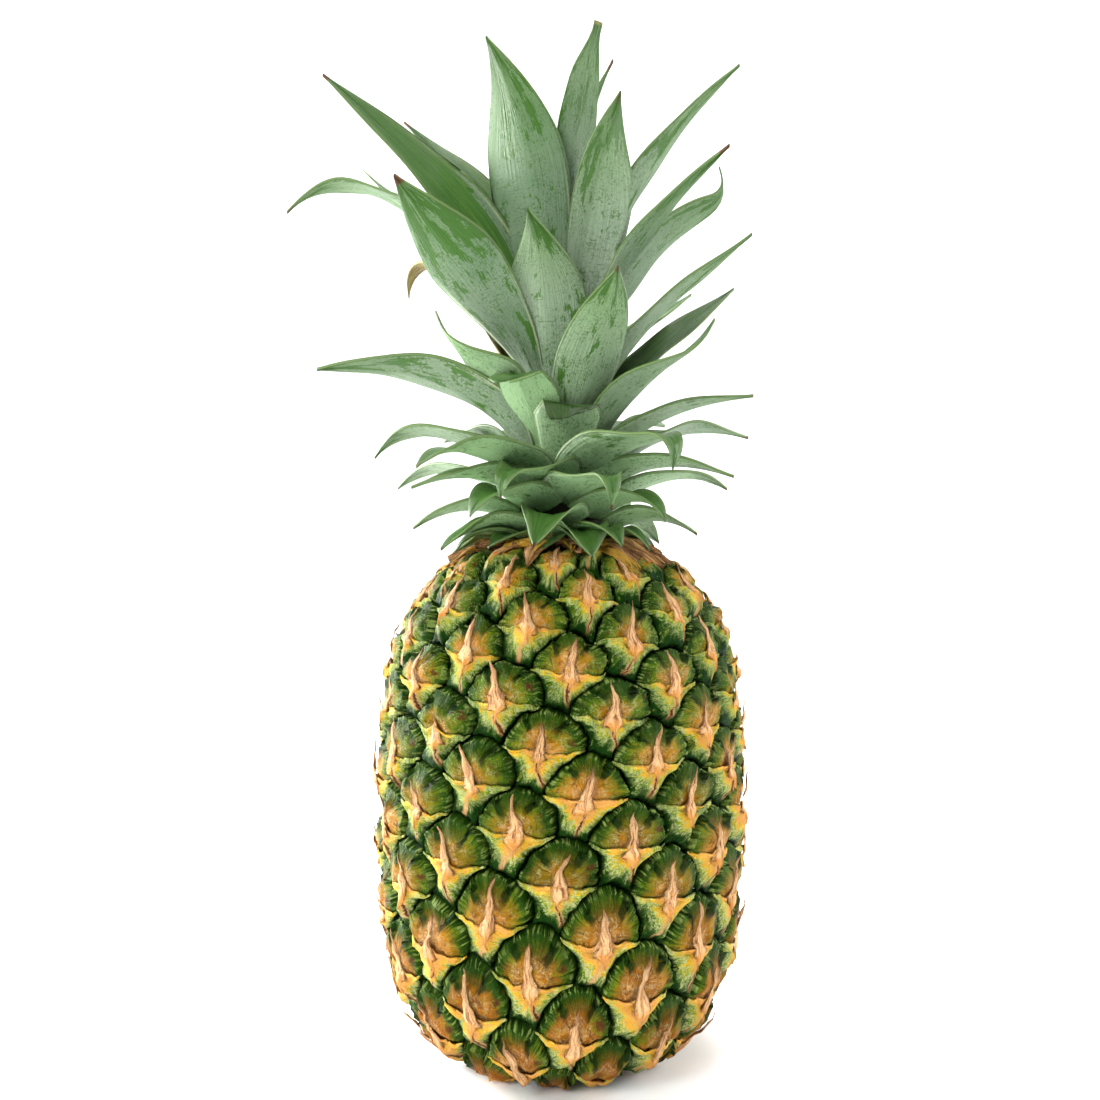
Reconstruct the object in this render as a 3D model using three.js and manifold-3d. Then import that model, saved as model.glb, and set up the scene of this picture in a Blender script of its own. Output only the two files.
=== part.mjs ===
// A whole pineapple standing on its base, with its crown of leaves.
// Millimetres and degrees, +Z up, origin at the middle of the resting face.
// Bearings are measured from -Y towards +X, so bearing 0 is the front and bearing 90 the right side.
import * as THREE from "three";
import { mergeVertices } from "three/addons/utils/BufferGeometryUtils.js";
import Module from "manifold-3d";

const wasm = await Module();
wasm.setup();

// Each new eye of the fruit and each new leaf of the crown turns by this much from the last.
const GOLDEN_TURN = 137.508;

// Fruit: a squarish ellipse turned round the axis, widest at its waist.
const FRUIT_RADIUS = 59.5;
const WAIST_HEIGHT = 88.1;
const BELOW_WAIST = { reach: 89.3, squareness: 3.2 };
const ABOVE_WAIST = { reach: 82.4, squareness: 2.86 };
const FRUIT_TOP = 168.3;
const SHELL_STEPS = 400;
const EYES_CLIMB_TO_THE_RIGHT = 0.041;

// Eyes: eye 0 sits above the waist at the front, and the eyes climb a little less each time.
const FIRST_EYE = -101;
const LAST_EYE = 75;
const EYE_BEARING = -5.4;
const EYE_STATION = 21.7;
const EYE_RISE = 1.074;
const EYE_RISE_SQUARE = -0.00113;
const EYE_RISE_CUBE = 0.000025;
const POLE_EASE = 12;

// An eye meets its neighbours 8, 13 and 21 turns away. A step along the 8-spiral or the 13-spiral turns by
// this much, and at the waist it goes this far across and up.
const EIGHT_TURN = 8 * GOLDEN_TURN - 3 * 360;
const THIRTEEN_TURN = 13 * GOLDEN_TURN - 5 * 360;
const EYE_PITCH = { eight: [20.8, 8.5], thirteen: [-12.9, 13.9] };

// Depth of the grooves, and how far the dome and the bract under it sink towards them.
const GROOVE_DEPTH = 3.2;
const DOME_DROP = 0.4;
const BRACT_DROP = 1.1;
const SHOULDER_SCALE = 0.7;

// Corners and middles of the sides of an eye, in steps along the two spirals from its owner's middle.
const PLACES = {
  wing: [0.4, -1 / 3],
  crest: [0.6, 1 / 3],
  by8: [0.5, 0],
  by13: [0, 0.5],
  by21: [0.5, 0.5],
};

// The spine is a three-sided thorn on the bract, and its root's corners stand across and up from the middle.
const [LEFT, RIGHT, TOP] = [0, 1, 2];
const SPINE_ROOT = [[-2.1, -2.8], [2.1, -2.8], [0, 1.4]];
const SPINE_ROOT_LIFT = 0.3;
const SPINE_TIP_UP = 7.6;
const SPINE_LIFT = 3.6;
const SPINE_SWAY = 3.2;

// The 12 places round an eye, from the right wing counter-clockwise. Neighbours share them, so each has one
// owner, some whole steps from this eye. The shoulder inside it drops, and runs to a corner of the spine.
const RIM = [
  { place: "wing", owner: [0, 0], drop: DOME_DROP, corner: RIGHT },
  { place: "by8", owner: [0, 0], drop: DOME_DROP, corner: RIGHT },
  { place: "crest", owner: [0, 0], drop: DOME_DROP, corner: RIGHT },
  { place: "by21", owner: [0, 0], drop: DOME_DROP, corner: TOP },
  { place: "wing", owner: [0, 1], drop: DOME_DROP, corner: TOP },
  { place: "by13", owner: [0, 0], drop: DOME_DROP, corner: TOP },
  { place: "crest", owner: [-1, 0], drop: DOME_DROP, corner: TOP },
  { place: "by8", owner: [-1, 0], drop: BRACT_DROP, corner: LEFT },
  { place: "wing", owner: [-1, 0], drop: BRACT_DROP, corner: LEFT },
  { place: "by21", owner: [-1, -1], drop: BRACT_DROP, corner: LEFT },
  { place: "crest", owner: [-1, -1], drop: DOME_DROP, corner: LEFT },
  { place: "by13", owner: [0, -1], drop: BRACT_DROP, corner: RIGHT },
];

// Relief fades towards the poles, by the shell's radius. The eyes nearest the poles have no spine.
const RELIEF_FADE = { bare: 15, full: 27 };
const SPINE_FADE = { bare: 22, full: 56 };
const BARE_MIDDLE = 32;

// Cut stalk, in the hollow under the fruit.
const STALK_RADIUS = 10;
const STALK_DEPTH = 6;
const STALK_CHAMFER = 0.6;
const STALK_SIDES = 28;
const GAP = 0.3;

// Crown: leaf 0 is the broad cut one at the front, lower leaves have negative numbers.
const FIRST_LEAF = -27;
const LAST_LEAF = 29;
const LEAF_BEARING = 3;
const STEM_FOOT_RADIUS = 16;
const STEM_TIP_RADIUS = 4;
const LOWEST_LEAF_HEIGHT = 171.4;
const HIGHEST_LEAF_HEIGHT = 219;
const STEM_TIP_HEIGHT = 222;
const STEM_SIDES = 30;

// How the leaves change up the crown: pairs of place in the crown (0 lowest, 1 innermost) and value.
const LEAF_REACH = [[0, 42], [0.25, 57], [0.45, 62], [0.8, 66], [1, 40]];
const LEAF_TIP_HEIGHT = [[0, 165], [0.25, 181], [0.48, 214], [0.7, 262], [0.85, 303], [1, 338]];
const LEAF_START_ANGLE = [[0, 25], [0.25, 40], [0.48, 68], [0.72, 83], [1, 89]];
const LEAF_TIP_ANGLE = [[0, -42], [0.25, -28], [0.48, 0], [0.72, 34], [1, 66]];
const LEAF_HALF_WIDTH = [[0, 7], [0.25, 9], [0.48, 10.8], [0.75, 12.3], [1, 10.5]];
const LEAF_WRAP = [[0, 0.74], [0.42, 0.68], [0.56, 0.46], [1, 0.44]];
const LEAF_THICKNESS = 1.0;
const MARGIN_THICKNESS = 0.7;
const TIP_HALF_WIDTH = 0.5;
const WIDEST_PLACE = 0.32;
const TAPER_POWER = 2.1;
const FREE_CHANNEL = 0.55;
const FREE_FROM = 0.5;
const HANDLE_SHARE = 0.38;
const LEAF_COLUMNS = 4;
const LOWER_LEAF_STEPS = 5;
const UPPER_LEAF_STEPS = 7;

// Leaves that differ from the rule: reach and height of the tip, start and tip angles, half width, the share
// of the length that each end steers (handle), taper, half the angle spanned round the stem (wrap), roll
// and turn of the whole leaf, side drift of its tip, and the share kept where a leaf was cut across.
const OWN_SHAPES = {
  29: { reach: 21, height: 339, halfWidth: 9 },
  28: { reach: 58, height: 321, tipAngle: 42, halfWidth: 9.5 },
  27: { reach: 20, height: 339, halfWidth: 8 },
  26: { reach: 31, height: 333, turn: -7, drift: -22, halfWidth: 13, taper: 3, wrap: 0.66 },
  24: { reach: 61, height: 323, startAngle: 88, tipAngle: 36, turn: 6, halfWidth: 8.5 },
  23: { reach: 79, height: 320, tipAngle: 36, halfWidth: 10 },
  22: { reach: 30, height: 300 },
  21: { reach: 42, height: 307, turn: 15, halfWidth: 13, taper: 2.8, wrap: 0.5 },
  20: { reach: 97, height: 320, tipAngle: 42, halfWidth: 9 },
  19: { reach: 55, height: 291, tipAngle: 30 },
  18: { reach: 67, height: 279, halfWidth: 14.5, roll: 30, turn: -6, taper: 2.6, wrap: 0.28 },
  17: { reach: 46, height: 292 },
  16: { reach: 66, height: 289, tipAngle: 30, handle: 0.44, turn: 3, halfWidth: 8.5 },
  15: { reach: 95, height: 286, tipAngle: -45, halfWidth: 10 },
  14: { reach: 62, height: 266 },
  13: { reach: 38, height: 272, turn: -1, halfWidth: 12.8, taper: 2.6, wrap: 0.36 },
  12: { reach: 54, height: 268 },
  11: { reach: 64, height: 271, tipAngle: 38, halfWidth: 9 },
  10: { reach: 47, height: 243, startAngle: 66, tipAngle: 50, halfWidth: 13, roll: 18 },
  8: { reach: 44, height: 253, tipAngle: 62, halfWidth: 12.5, taper: 2.8 },
  7: { reach: 57, height: 266 },
  6: { reach: 65, height: 263, tipAngle: 40 },
  5: { reach: 38, height: 236, tipAngle: 60, keep: 0.66, halfWidth: 11.5, wrap: 0.44 },
  3: { reach: 60, height: 236, tipAngle: 28, halfWidth: 12, wrap: 0.36 },
  2: { reach: 81, height: 228, tipAngle: -8, halfWidth: 12, roll: 15 },
  0: { reach: 42, height: 240, tipAngle: 60, turn: 4, keep: 0.42, halfWidth: 11.5, wrap: 0.46 },
  "-2": { reach: 65, height: 221, startAngle: 58, tipAngle: 6, halfWidth: 9.5 },
  "-3": { reach: 57, height: 192, startAngle: 46, tipAngle: -50 },
  "-5": { reach: 59, height: 190, startAngle: 62, tipAngle: -75 },
  "-6": { reach: 67, height: 202, startAngle: 52, tipAngle: -50 },
  "-7": { reach: 74, height: 211, tipAngle: -12, turn: -8 },
  "-8": { reach: 48, height: 182, startAngle: 52, tipAngle: -75, drift: -8 },
  "-13": { startAngle: 34, tipAngle: -60 },
  "-14": { reach: 65, height: 193 },
  "-15": { reach: 60, height: 189 },
  "-16": { reach: 46, height: 178, tipAngle: -60 },
  "-18": { reach: 44, height: 177, tipAngle: -70 },
  "-19": { reach: 50, height: 176.5 },
  "-21": { reach: 44, height: 170, tipAngle: -70, drift: -8 },
  "-23": { reach: 46, height: 174 },
  "-26": { reach: 40, height: 164, tipAngle: -60, turn: -12 },
};

// Small dried bracts round the foot of the crown.
const COLLAR_BRACTS = 21;
const COLLAR_RADIUS = 20;
const COLLAR_HEIGHT = 1.6;
const BRACT_LENGTH = 9;
const SHORTEST_BRACT = 0.6;
const BRACT_WIDTH = 5.4;
const BRACT_THICKNESS = 1.4;
const BRACT_LEAN = { least: -4, most: 10 };
const BRACT_SINK = 2;

const MATERIALS = {
  fruit: { color: 0x9a8a3c, roughness: 0.55, metalness: 0 },
  stalk: { color: 0xc9b98a, roughness: 0.9, metalness: 0 },
  stem: { color: 0x8d7346, roughness: 0.85, metalness: 0 },
  leaf: { color: 0x7f9f86, roughness: 0.6, metalness: 0 },
};

// ---------------------------------------------------------------- helpers

const { clamp, degToRad, lerp, smoothstep } = THREE.MathUtils;

// A value between 0 and 1 that is always the same for the same number.
function fixedChance(number) {
  const wave = Math.sin(number * 12.9898) * 43758.5453;
  return wave - Math.floor(wave);
}

// The value of a list of [place, value] pairs at a place, on straight lines between them.
function along(pairs, place) {
  const next = pairs.findIndex(([at]) => at >= place);
  if (next <= 0) return pairs[next === 0 ? 0 : pairs.length - 1][1];
  const [from, low] = pairs[next - 1];
  const [to, high] = pairs[next];
  return lerp(low, high, (place - from) / (to - from));
}

// A point at a distance from the axis, on a bearing, at a height.
function onBearing(radius, bearing, height) {
  const turn = degToRad(bearing);
  return new THREE.Vector3(radius * Math.sin(turn), -radius * Math.cos(turn), height);
}

function geometryOf(points, faces) {
  const geometry = new THREE.BufferGeometry().setFromPoints(points);
  geometry.setIndex(faces.flat());
  return geometry;
}

function solidOf(geometry) {
  const bare = geometry.clone();
  bare.deleteAttribute("normal");
  bare.deleteAttribute("uv");
  const merged = mergeVertices(bare, 1e-4);
  const vertProperties = new Float32Array(merged.attributes.position.array);
  const triVerts = new Uint32Array(merged.index.array);
  return new wasm.Manifold(new wasm.Mesh({ numProp: 3, vertProperties, triVerts }));
}

function geometryOfSolid(solid) {
  const mesh = solid.getMesh();
  const geometry = new THREE.BufferGeometry();
  geometry.setAttribute("position", new THREE.BufferAttribute(mesh.vertProperties, 3));
  geometry.setIndex(new THREE.BufferAttribute(mesh.triVerts, 1));
  return geometry;
}

// A profile of [radius, height] pairs turned round the axis.
function turned(profile, sides) {
  const outline = profile.map(([radius, height]) => new THREE.Vector2(radius, height));
  return new THREE.LatheGeometry(outline, sides).rotateX(Math.PI / 2);
}

function namedMesh(name, geometry, look) {
  const mesh = new THREE.Mesh(geometry, new THREE.MeshStandardMaterial(look));
  mesh.name = name;
  return mesh;
}

// ---------------------------------------------------------------- fruit

// Stations along the shell's profile: distance from the waist, radius and height.
function shellHalf({ reach, squareness }, side) {
  const stations = [];
  let last = { station: 0, radius: FRUIT_RADIUS, height: WAIST_HEIGHT };
  for (let step = 1; step <= SHELL_STEPS; step += 1) {
    const angle = (Math.PI / 2) * (step / SHELL_STEPS);
    const radius = FRUIT_RADIUS * Math.max(0, Math.cos(angle)) ** (2 / squareness);
    const height = WAIST_HEIGHT + side * reach * Math.sin(angle) ** (2 / squareness);
    const stride = Math.hypot(radius - last.radius, height - last.height);
    last = { station: last.station + side * stride, radius, height };
    stations.push(last);
  }
  return stations;
}

const SHELL = [
  ...shellHalf(BELOW_WAIST, -1).reverse(),
  { station: 0, radius: FRUIT_RADIUS, height: WAIST_HEIGHT },
  ...shellHalf(ABOVE_WAIST, 1),
];

// Distance along the profile at which an eye sits, slowed so that it never passes a pole.
function eyeStation(number) {
  const rise = EYE_RISE + EYE_RISE_SQUARE * number + EYE_RISE_CUBE * number * number;
  const station = EYE_STATION + rise * number;
  const top = SHELL.at(-1).station - POLE_EASE;
  const bottom = SHELL[0].station + POLE_EASE;
  if (station > top) return top + POLE_EASE * (1 - Math.exp((top - station) / POLE_EASE));
  if (station < bottom) return bottom - POLE_EASE * (1 - Math.exp((station - bottom) / POLE_EASE));
  return station;
}

function shellAt(station) {
  const next = clamp(SHELL.findIndex((s) => s.station >= station), 1, SHELL.length - 1);
  const below = SHELL[next - 1];
  const above = SHELL[next];
  const share = (station - below.station) / (above.station - below.station);
  const stride = Math.hypot(above.radius - below.radius, above.height - below.height);
  return {
    radius: lerp(below.radius, above.radius, share),
    height: lerp(below.height, above.height, share),
    outward: (above.height - below.height) / stride,
    upward: (below.radius - above.radius) / stride,
  };
}

// A point of eye `number`, some steps along the 8-spiral and the 13-spiral from its middle.
function eyePoint(number, [eights, thirteens], lift, fade) {
  const shell = shellAt(eyeStation(number + 8 * eights + 13 * thirteens));
  const turn = GOLDEN_TURN * number + EIGHT_TURN * eights + THIRTEEN_TURN * thirteens;
  const faded = lift * smoothstep(shell.radius, fade.bare, fade.full);
  const radius = shell.radius + faded * shell.outward;
  const height = shell.height + faded * shell.upward;
  const climb = EYES_CLIMB_TO_THE_RIGHT * Math.sin((Math.PI * clamp(shell.height, 0, FRUIT_TOP)) / FRUIT_TOP);
  const point = onBearing(radius, EYE_BEARING + turn, height);
  return point.setZ(height + climb * point.x);
}

// Millimetres across and up an eye as steps along the two spirals.
function spiralSteps([across, up]) {
  const { eight, thirteen } = EYE_PITCH;
  const area = eight[0] * thirteen[1] - eight[1] * thirteen[0];
  return [
    (across * thirteen[1] - up * thirteen[0]) / area,
    (up * eight[0] - across * eight[1]) / area,
  ];
}

// The dome and bract of one eye, from its shoulder in to the spine's root, and the spine itself.
function facesOfEye(shoulder, root, tip) {
  const faces = [];
  RIM.forEach(({ corner }, i) => {
    const next = (i + 1) % RIM.length;
    const nextCorner = RIM[next].corner;
    faces.push([shoulder[i], shoulder[next], root[corner]]);
    if (corner !== nextCorner) faces.push([root[corner], shoulder[next], root[nextCorner]]);
  });
  if (tip === null) return [...faces, root];
  return [...faces, ...root.map((here, i) => [here, root[(i + 1) % root.length], tip])];
}

// All the eyes as one closed skin: a groove round each, a dome, and a spine on the bract.
function skinOfEyes() {
  const points = [];
  const faces = [];
  const shared = new Map();
  const open = new Map();
  const add = (point) => points.push(point) - 1;
  const rimPoint = (number, place) => {
    const key = place + number;
    if (!shared.has(key)) {
      shared.set(key, add(eyePoint(number, PLACES[place], -GROOVE_DEPTH, RELIEF_FADE)));
    }
    return shared.get(key);
  };
  for (let number = FIRST_EYE; number <= LAST_EYE; number += 1) {
    const rim = RIM.map(({ place, owner }) => rimPoint(number + 8 * owner[0] + 13 * owner[1], place));
    const shoulder = RIM.map(({ place, owner, drop }) => {
      const inner = PLACES[place].map((step, way) => SHOULDER_SCALE * (step + owner[way]));
      return add(eyePoint(number, inner, -drop, RELIEF_FADE));
    });
    const root = SPINE_ROOT.map((mm) =>
      add(eyePoint(number, spiralSteps(mm), SPINE_ROOT_LIFT, RELIEF_FADE)),
    );
    rim.forEach((here, i) => {
      const next = (i + 1) % rim.length;
      faces.push([here, rim[next], shoulder[next]], [here, shoulder[next], shoulder[i]]);
      open.set(here + ">" + rim[next], [here, rim[next]]);
    });
    const sway = (fixedChance(number) - 0.5) * SPINE_SWAY;
    const hasSpine = shellAt(eyeStation(number)).radius > BARE_MIDDLE;
    const tip = eyePoint(number, spiralSteps([sway, SPINE_TIP_UP]), SPINE_LIFT, SPINE_FADE);
    faces.push(...facesOfEye(shoulder, root, hasSpine ? add(tip) : null));
  }
  closePoles(points, faces, open);
  return geometryOf(points, faces);
}

// Sides of eyes that no neighbour shares run to the nearer pole.
function closePoles(points, faces, open) {
  for (const [here, next] of [...open.values()]) {
    if (open.delete(next + ">" + here)) open.delete(here + ">" + next);
  }
  const ends = [SHELL[0], SHELL.at(-1)];
  const [bottom, top] = ends.map(({ height }) => points.push(onBearing(0, 0, height)) - 1);
  for (const [here, next] of open.values()) {
    faces.push([next, here, points[here].z < WAIST_HEIGHT ? bottom : top]);
  }
}

function fruit() {
  const socket = STALK_RADIUS + GAP;
  const wide = 2 * FRUIT_RADIUS;
  const recess = [[0, STALK_DEPTH], [socket, STALK_DEPTH], [socket, 0]];
  const kept = turned([...recess, [wide, 0], [wide, FRUIT_TOP], [0, FRUIT_TOP]], STALK_SIDES);
  return geometryOfSolid(solidOf(skinOfEyes()).intersect(solidOf(kept)));
}

function stalkStub() {
  const top = STALK_DEPTH - GAP;
  const foot = [[0, 0], [STALK_RADIUS, 0]];
  const crown = [[STALK_RADIUS, top - STALK_CHAMFER], [STALK_RADIUS - STALK_CHAMFER, top], [0, top]];
  return turned([...foot, ...crown], STALK_SIDES);
}

// ---------------------------------------------------------------- crown

const CROWN_FOOT = FRUIT_TOP + GAP;
const STEM_FOOT = CROWN_FOOT + COLLAR_HEIGHT;
const STEM_SHOULDER = STEM_TIP_HEIGHT - 1;

// A small pointed bract lying out over the fruit, rooted in the stem's foot.
function collarBract(number) {
  const bearing = GOLDEN_TURN * number;
  const length = BRACT_LENGTH * lerp(SHORTEST_BRACT, 1, fixedChance(number));
  const lean = lerp(BRACT_LEAN.least, BRACT_LEAN.most, fixedChance(number + 0.5));
  const cone = new THREE.ConeGeometry(1, length, 4).rotateX(Math.PI).rotateY(Math.PI / 4);
  cone.scale(BRACT_WIDTH / Math.SQRT2, 1, BRACT_THICKNESS / Math.SQRT2);
  cone.rotateX(degToRad(lean)).rotateZ(degToRad(bearing));
  const middle = onBearing(COLLAR_RADIUS - BRACT_SINK + length / 2, bearing, STEM_FOOT - BRACT_THICKNESS / 2);
  return solidOf(cone.translate(middle.x, middle.y, middle.z));
}

// The short stem that carries the leaves, with a flange of dried bracts at its foot.
function crownStem() {
  const flangeTop = CROWN_FOOT + COLLAR_HEIGHT / 2;
  const flange = [[0, CROWN_FOOT], [COLLAR_RADIUS, CROWN_FOOT], [COLLAR_RADIUS, flangeTop]];
  const cone = [[STEM_FOOT_RADIUS, STEM_FOOT], [STEM_TIP_RADIUS, STEM_SHOULDER], [0, STEM_TIP_HEIGHT]];
  let solid = solidOf(turned([...flange, ...cone], STEM_SIDES));
  for (let number = 0; number < COLLAR_BRACTS; number += 1) {
    solid = solid.add(collarBract(number));
  }
  return geometryOfSolid(solid);
}

// Everything that places one leaf: its bearing, centre line, width and channel.
function leafShape(number) {
  const place = (number - FIRST_LEAF) / (LAST_LEAF - FIRST_LEAF);
  const own = OWN_SHAPES[number] ?? {};
  const height = lerp(LOWEST_LEAF_HEIGHT, HIGHEST_LEAF_HEIGHT, place);
  const stemShare = (height - STEM_FOOT) / (STEM_SHOULDER - STEM_FOOT);
  const radius = lerp(STEM_FOOT_RADIUS, STEM_TIP_RADIUS, stemShare) + GAP + LEAF_THICKNESS;
  const reach = own.reach ?? along(LEAF_REACH, place);
  const root = new THREE.Vector2(radius, height);
  const tip = new THREE.Vector2(reach, own.height ?? along(LEAF_TIP_HEIGHT, place));
  const handle = (own.handle ?? HANDLE_SHARE) * root.distanceTo(tip);
  const heading = (degrees) => {
    const angle = degToRad(degrees);
    return new THREE.Vector2(Math.cos(angle), Math.sin(angle)).multiplyScalar(handle);
  };
  const afterRoot = root.clone().add(heading(own.startAngle ?? along(LEAF_START_ANGLE, place)));
  const beforeTip = tip.clone().sub(heading(own.tipAngle ?? along(LEAF_TIP_ANGLE, place)));
  return {
    bearing: LEAF_BEARING + GOLDEN_TURN * number + (own.turn ?? 0),
    line: new THREE.CubicBezierCurve(root, afterRoot, beforeTip, tip),
    radius,
    halfWidth: own.halfWidth ?? along(LEAF_HALF_WIDTH, place),
    wrap: own.wrap ?? along(LEAF_WRAP, place),
    roll: degToRad(own.roll ?? 0),
    taper: own.taper ?? TAPER_POWER,
    drift: own.drift ?? 0,
    keep: own.keep ?? 1,
    steps: number < 0 ? LOWER_LEAF_STEPS : UPPER_LEAF_STEPS,
  };
}

function halfWidthAt(leaf, share) {
  const beyond = Math.max(0, (share - WIDEST_PLACE) / (1 - WIDEST_PLACE));
  const free = leaf.halfWidth * (1 - beyond ** leaf.taper);
  return Math.max(TIP_HALF_WIDTH, Math.min(free, leaf.wrap * leaf.line.getPoint(share).x));
}

// The points across one station of a blade: first the outer face's row, then the inner face's.
function bladeSection(leaf, share) {
  const centre = leaf.line.getPoint(share);
  const tangent = leaf.line.getTangent(share);
  const bearing = leaf.bearing + leaf.drift * share * share;
  const sideways = onBearing(1, bearing + 90, 0);
  const inward = onBearing(1, bearing, 0).multiplyScalar(-tangent.y).setZ(tangent.x);
  const middle = onBearing(centre.x, bearing, centre.y);
  const freed = smoothstep(share, 0, FREE_FROM);
  const bend = lerp(1 / leaf.radius, FREE_CHANNEL / leaf.halfWidth, freed);
  const roll = leaf.roll * freed;
  const points = [];
  for (const face of [-1, 1]) {
    for (let column = 0; column <= LEAF_COLUMNS; column += 1) {
      const across = (2 * column) / LEAF_COLUMNS - 1;
      const turn = across * halfWidthAt(leaf, share) * bend;
      const offset = (face * lerp(LEAF_THICKNESS, MARGIN_THICKNESS, Math.abs(across))) / 2;
      const level = (1 - Math.cos(turn)) / bend + offset * Math.cos(turn);
      const side = Math.sin(turn) / bend - offset * Math.sin(turn);
      const rolledSide = side * Math.cos(roll) - level * Math.sin(roll);
      const rolledLevel = side * Math.sin(roll) + level * Math.cos(roll);
      points.push(middle.clone().addScaledVector(sideways, rolledSide).addScaledVector(inward, rolledLevel));
    }
  }
  return points;
}

// One blade: a channelled strip whose two faces are split into the same triangles.
function leafBlade(leaf) {
  const points = [];
  const faces = [];
  for (let step = 0; step <= leaf.steps; step += 1) {
    points.push(...bladeSection(leaf, leaf.keep * (step / leaf.steps)));
  }
  const [outer, inner] = [0, 1];
  const edge = LEAF_COLUMNS;
  const at = (step, face, column) => (2 * step + face) * (LEAF_COLUMNS + 1) + column;
  const quad = (a, b, c, d) => faces.push([a, b, c], [a, c, d]);
  const span = (face, step, column) => [
    at(step, face, column),
    at(step, face, column + 1),
    at(step + 1, face, column + 1),
    at(step + 1, face, column),
  ];
  for (let step = 0; step < leaf.steps; step += 1) {
    for (let column = 0; column < LEAF_COLUMNS; column += 1) {
      const [a, b, c, d] = span(outer, step, column);
      faces.push([a, b, c], [a, c, d]);
      const [e, f, g, h] = span(inner, step, column);
      faces.push([e, g, f], [e, h, g]);
    }
    quad(at(step, inner, 0), at(step, outer, 0), at(step + 1, outer, 0), at(step + 1, inner, 0));
    quad(at(step, outer, edge), at(step, inner, edge), at(step + 1, inner, edge), at(step + 1, outer, edge));
  }
  for (let column = 0; column < LEAF_COLUMNS; column += 1) {
    const next = column + 1;
    const end = leaf.steps;
    quad(at(0, inner, column), at(0, inner, next), at(0, outer, next), at(0, outer, column));
    quad(at(end, outer, column), at(end, outer, next), at(end, inner, next), at(end, inner, column));
  }
  return geometryOf(points, faces);
}

// ---------------------------------------------------------------- the whole pineapple

const pineapple = new THREE.Group();
pineapple.add(namedMesh("fruit", fruit(), MATERIALS.fruit));
pineapple.add(namedMesh("stalk_stub", stalkStub(), MATERIALS.stalk));
const crown = new THREE.Group();
crown.add(namedMesh("crown_stem", crownStem(), MATERIALS.stem));
for (let number = FIRST_LEAF; number <= LAST_LEAF; number += 1) {
  const order = String(number - FIRST_LEAF + 1).padStart(2, "0");
  crown.add(namedMesh("leaf_" + order, leafBlade(leafShape(number)), MATERIALS.leaf));
}
pineapple.add(crown);

export default pineapple;
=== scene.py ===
"""The looks of a whole pineapple: a spined rind of spiral eyes, a crown of waxy leaves and a cut stalk.

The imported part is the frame. Its fruit, crown stem and leaves are replaced by finer pieces in the same place,
made from the same spirals and curves. Sizes are in millimetres and angles in degrees until a mesh is
finished, when it is scaled to metres. Bearings are measured from -Y, the front, towards +X.
"""

import logging
import math
import random
from bisect import bisect_left
from collections.abc import Callable
from dataclasses import dataclass, field
from enum import Enum
from functools import cached_property

import bmesh
import bpy
from mathutils import Matrix, Vector, noise


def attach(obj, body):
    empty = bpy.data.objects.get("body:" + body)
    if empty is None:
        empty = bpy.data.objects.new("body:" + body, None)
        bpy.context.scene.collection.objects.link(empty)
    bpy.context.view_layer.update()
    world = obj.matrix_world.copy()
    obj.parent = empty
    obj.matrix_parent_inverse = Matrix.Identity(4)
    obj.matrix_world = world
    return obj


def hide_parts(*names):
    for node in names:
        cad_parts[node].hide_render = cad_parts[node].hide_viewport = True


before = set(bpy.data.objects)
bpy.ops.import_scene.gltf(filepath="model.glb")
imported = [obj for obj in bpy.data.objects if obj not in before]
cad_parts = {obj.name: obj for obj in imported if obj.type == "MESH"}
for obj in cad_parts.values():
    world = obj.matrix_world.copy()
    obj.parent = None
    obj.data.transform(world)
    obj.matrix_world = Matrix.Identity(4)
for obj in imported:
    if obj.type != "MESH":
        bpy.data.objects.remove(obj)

LOG = logging.getLogger("pineapple")

Colour = tuple[float, float, float]
Pair = tuple[float, float]
Pairs = tuple[Pair, ...]
Floats = tuple[float, ...]
Place = tuple[float, float, float]
Placed = tuple[Vector, dict[str, Pair]]
Placer = Callable[[float, float], Placed]
Socket = bpy.types.NodeSocket

MILLIMETRE = 0.001
DECIMETRE = 100.0
TINY = 1e-6
GOLDEN_TURN = 137.508
EIGHT_TURN = 8 * GOLDEN_TURN - 3 * 360
THIRTEEN_TURN = 13 * GOLDEN_TURN - 5 * 360
BODY = "root"
BLADE_SEED = 500
BASAL_SEED = 40
COLLAR_SEED = 900
WANDER_OFFSETS = ((0.0, 0.0, 0.0), (31.7, 11.3, 47.1), (73.9, 59.3, 19.7))


class Slot(Enum):
    """The record's material slots."""

    RIND = "rind"
    CROWN_STEM = "crown_stem"
    LEAF = "leaf"


# ---- plain sums


def clamp(value: float, low: float, high: float) -> float:
    """The value kept between two ends."""
    return max(low, min(high, value))


def lerp(first: float, second: float, share: float) -> float:
    """The value some share of the way from the first to the second."""
    return first + (second - first) * share


def smoothstep(value: float, low: float, high: float) -> float:
    """A soft step from 0 at the low end to 1 at the high end."""
    share = clamp((value - low) / (high - low), 0.0, 1.0)
    return share * share * (3 - 2 * share)


def along(pairs: Pairs, place: float) -> float:
    """The value of some (place, value) pairs, on straight lines between them.

    Args:
        pairs: Places in rising order, each with its value.
        place: Where to read the list.

    Returns:
        The value there, held beyond the ends.
    """
    if place <= pairs[0][0]:
        return pairs[0][1]
    for (start, low), (end, high) in zip(pairs, pairs[1:]):
        if place <= end:
            return lerp(low, high, (place - start) / (end - start))
    return pairs[-1][1]


def hump(value: float, width: float) -> float:
    """A smooth hump that is 1 where the value is 0 and fades over a width on both sides."""
    return math.exp(-((value / width) ** 2))


def bumps(layers: Pairs, across: float, up: float, seed: float) -> float:
    """Adds up layers of smooth noise on a surface.

    Args:
        layers: The pace of each layer's noise and its height.
        across: The place across the surface.
        up: The place up the surface.
        seed: Moves the noise, so that each piece has its own.

    Returns:
        The height of the bumps there.
    """
    return sum(height * noise.noise(Vector((across * pace, up * pace, seed))) for pace, height in layers)


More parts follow.
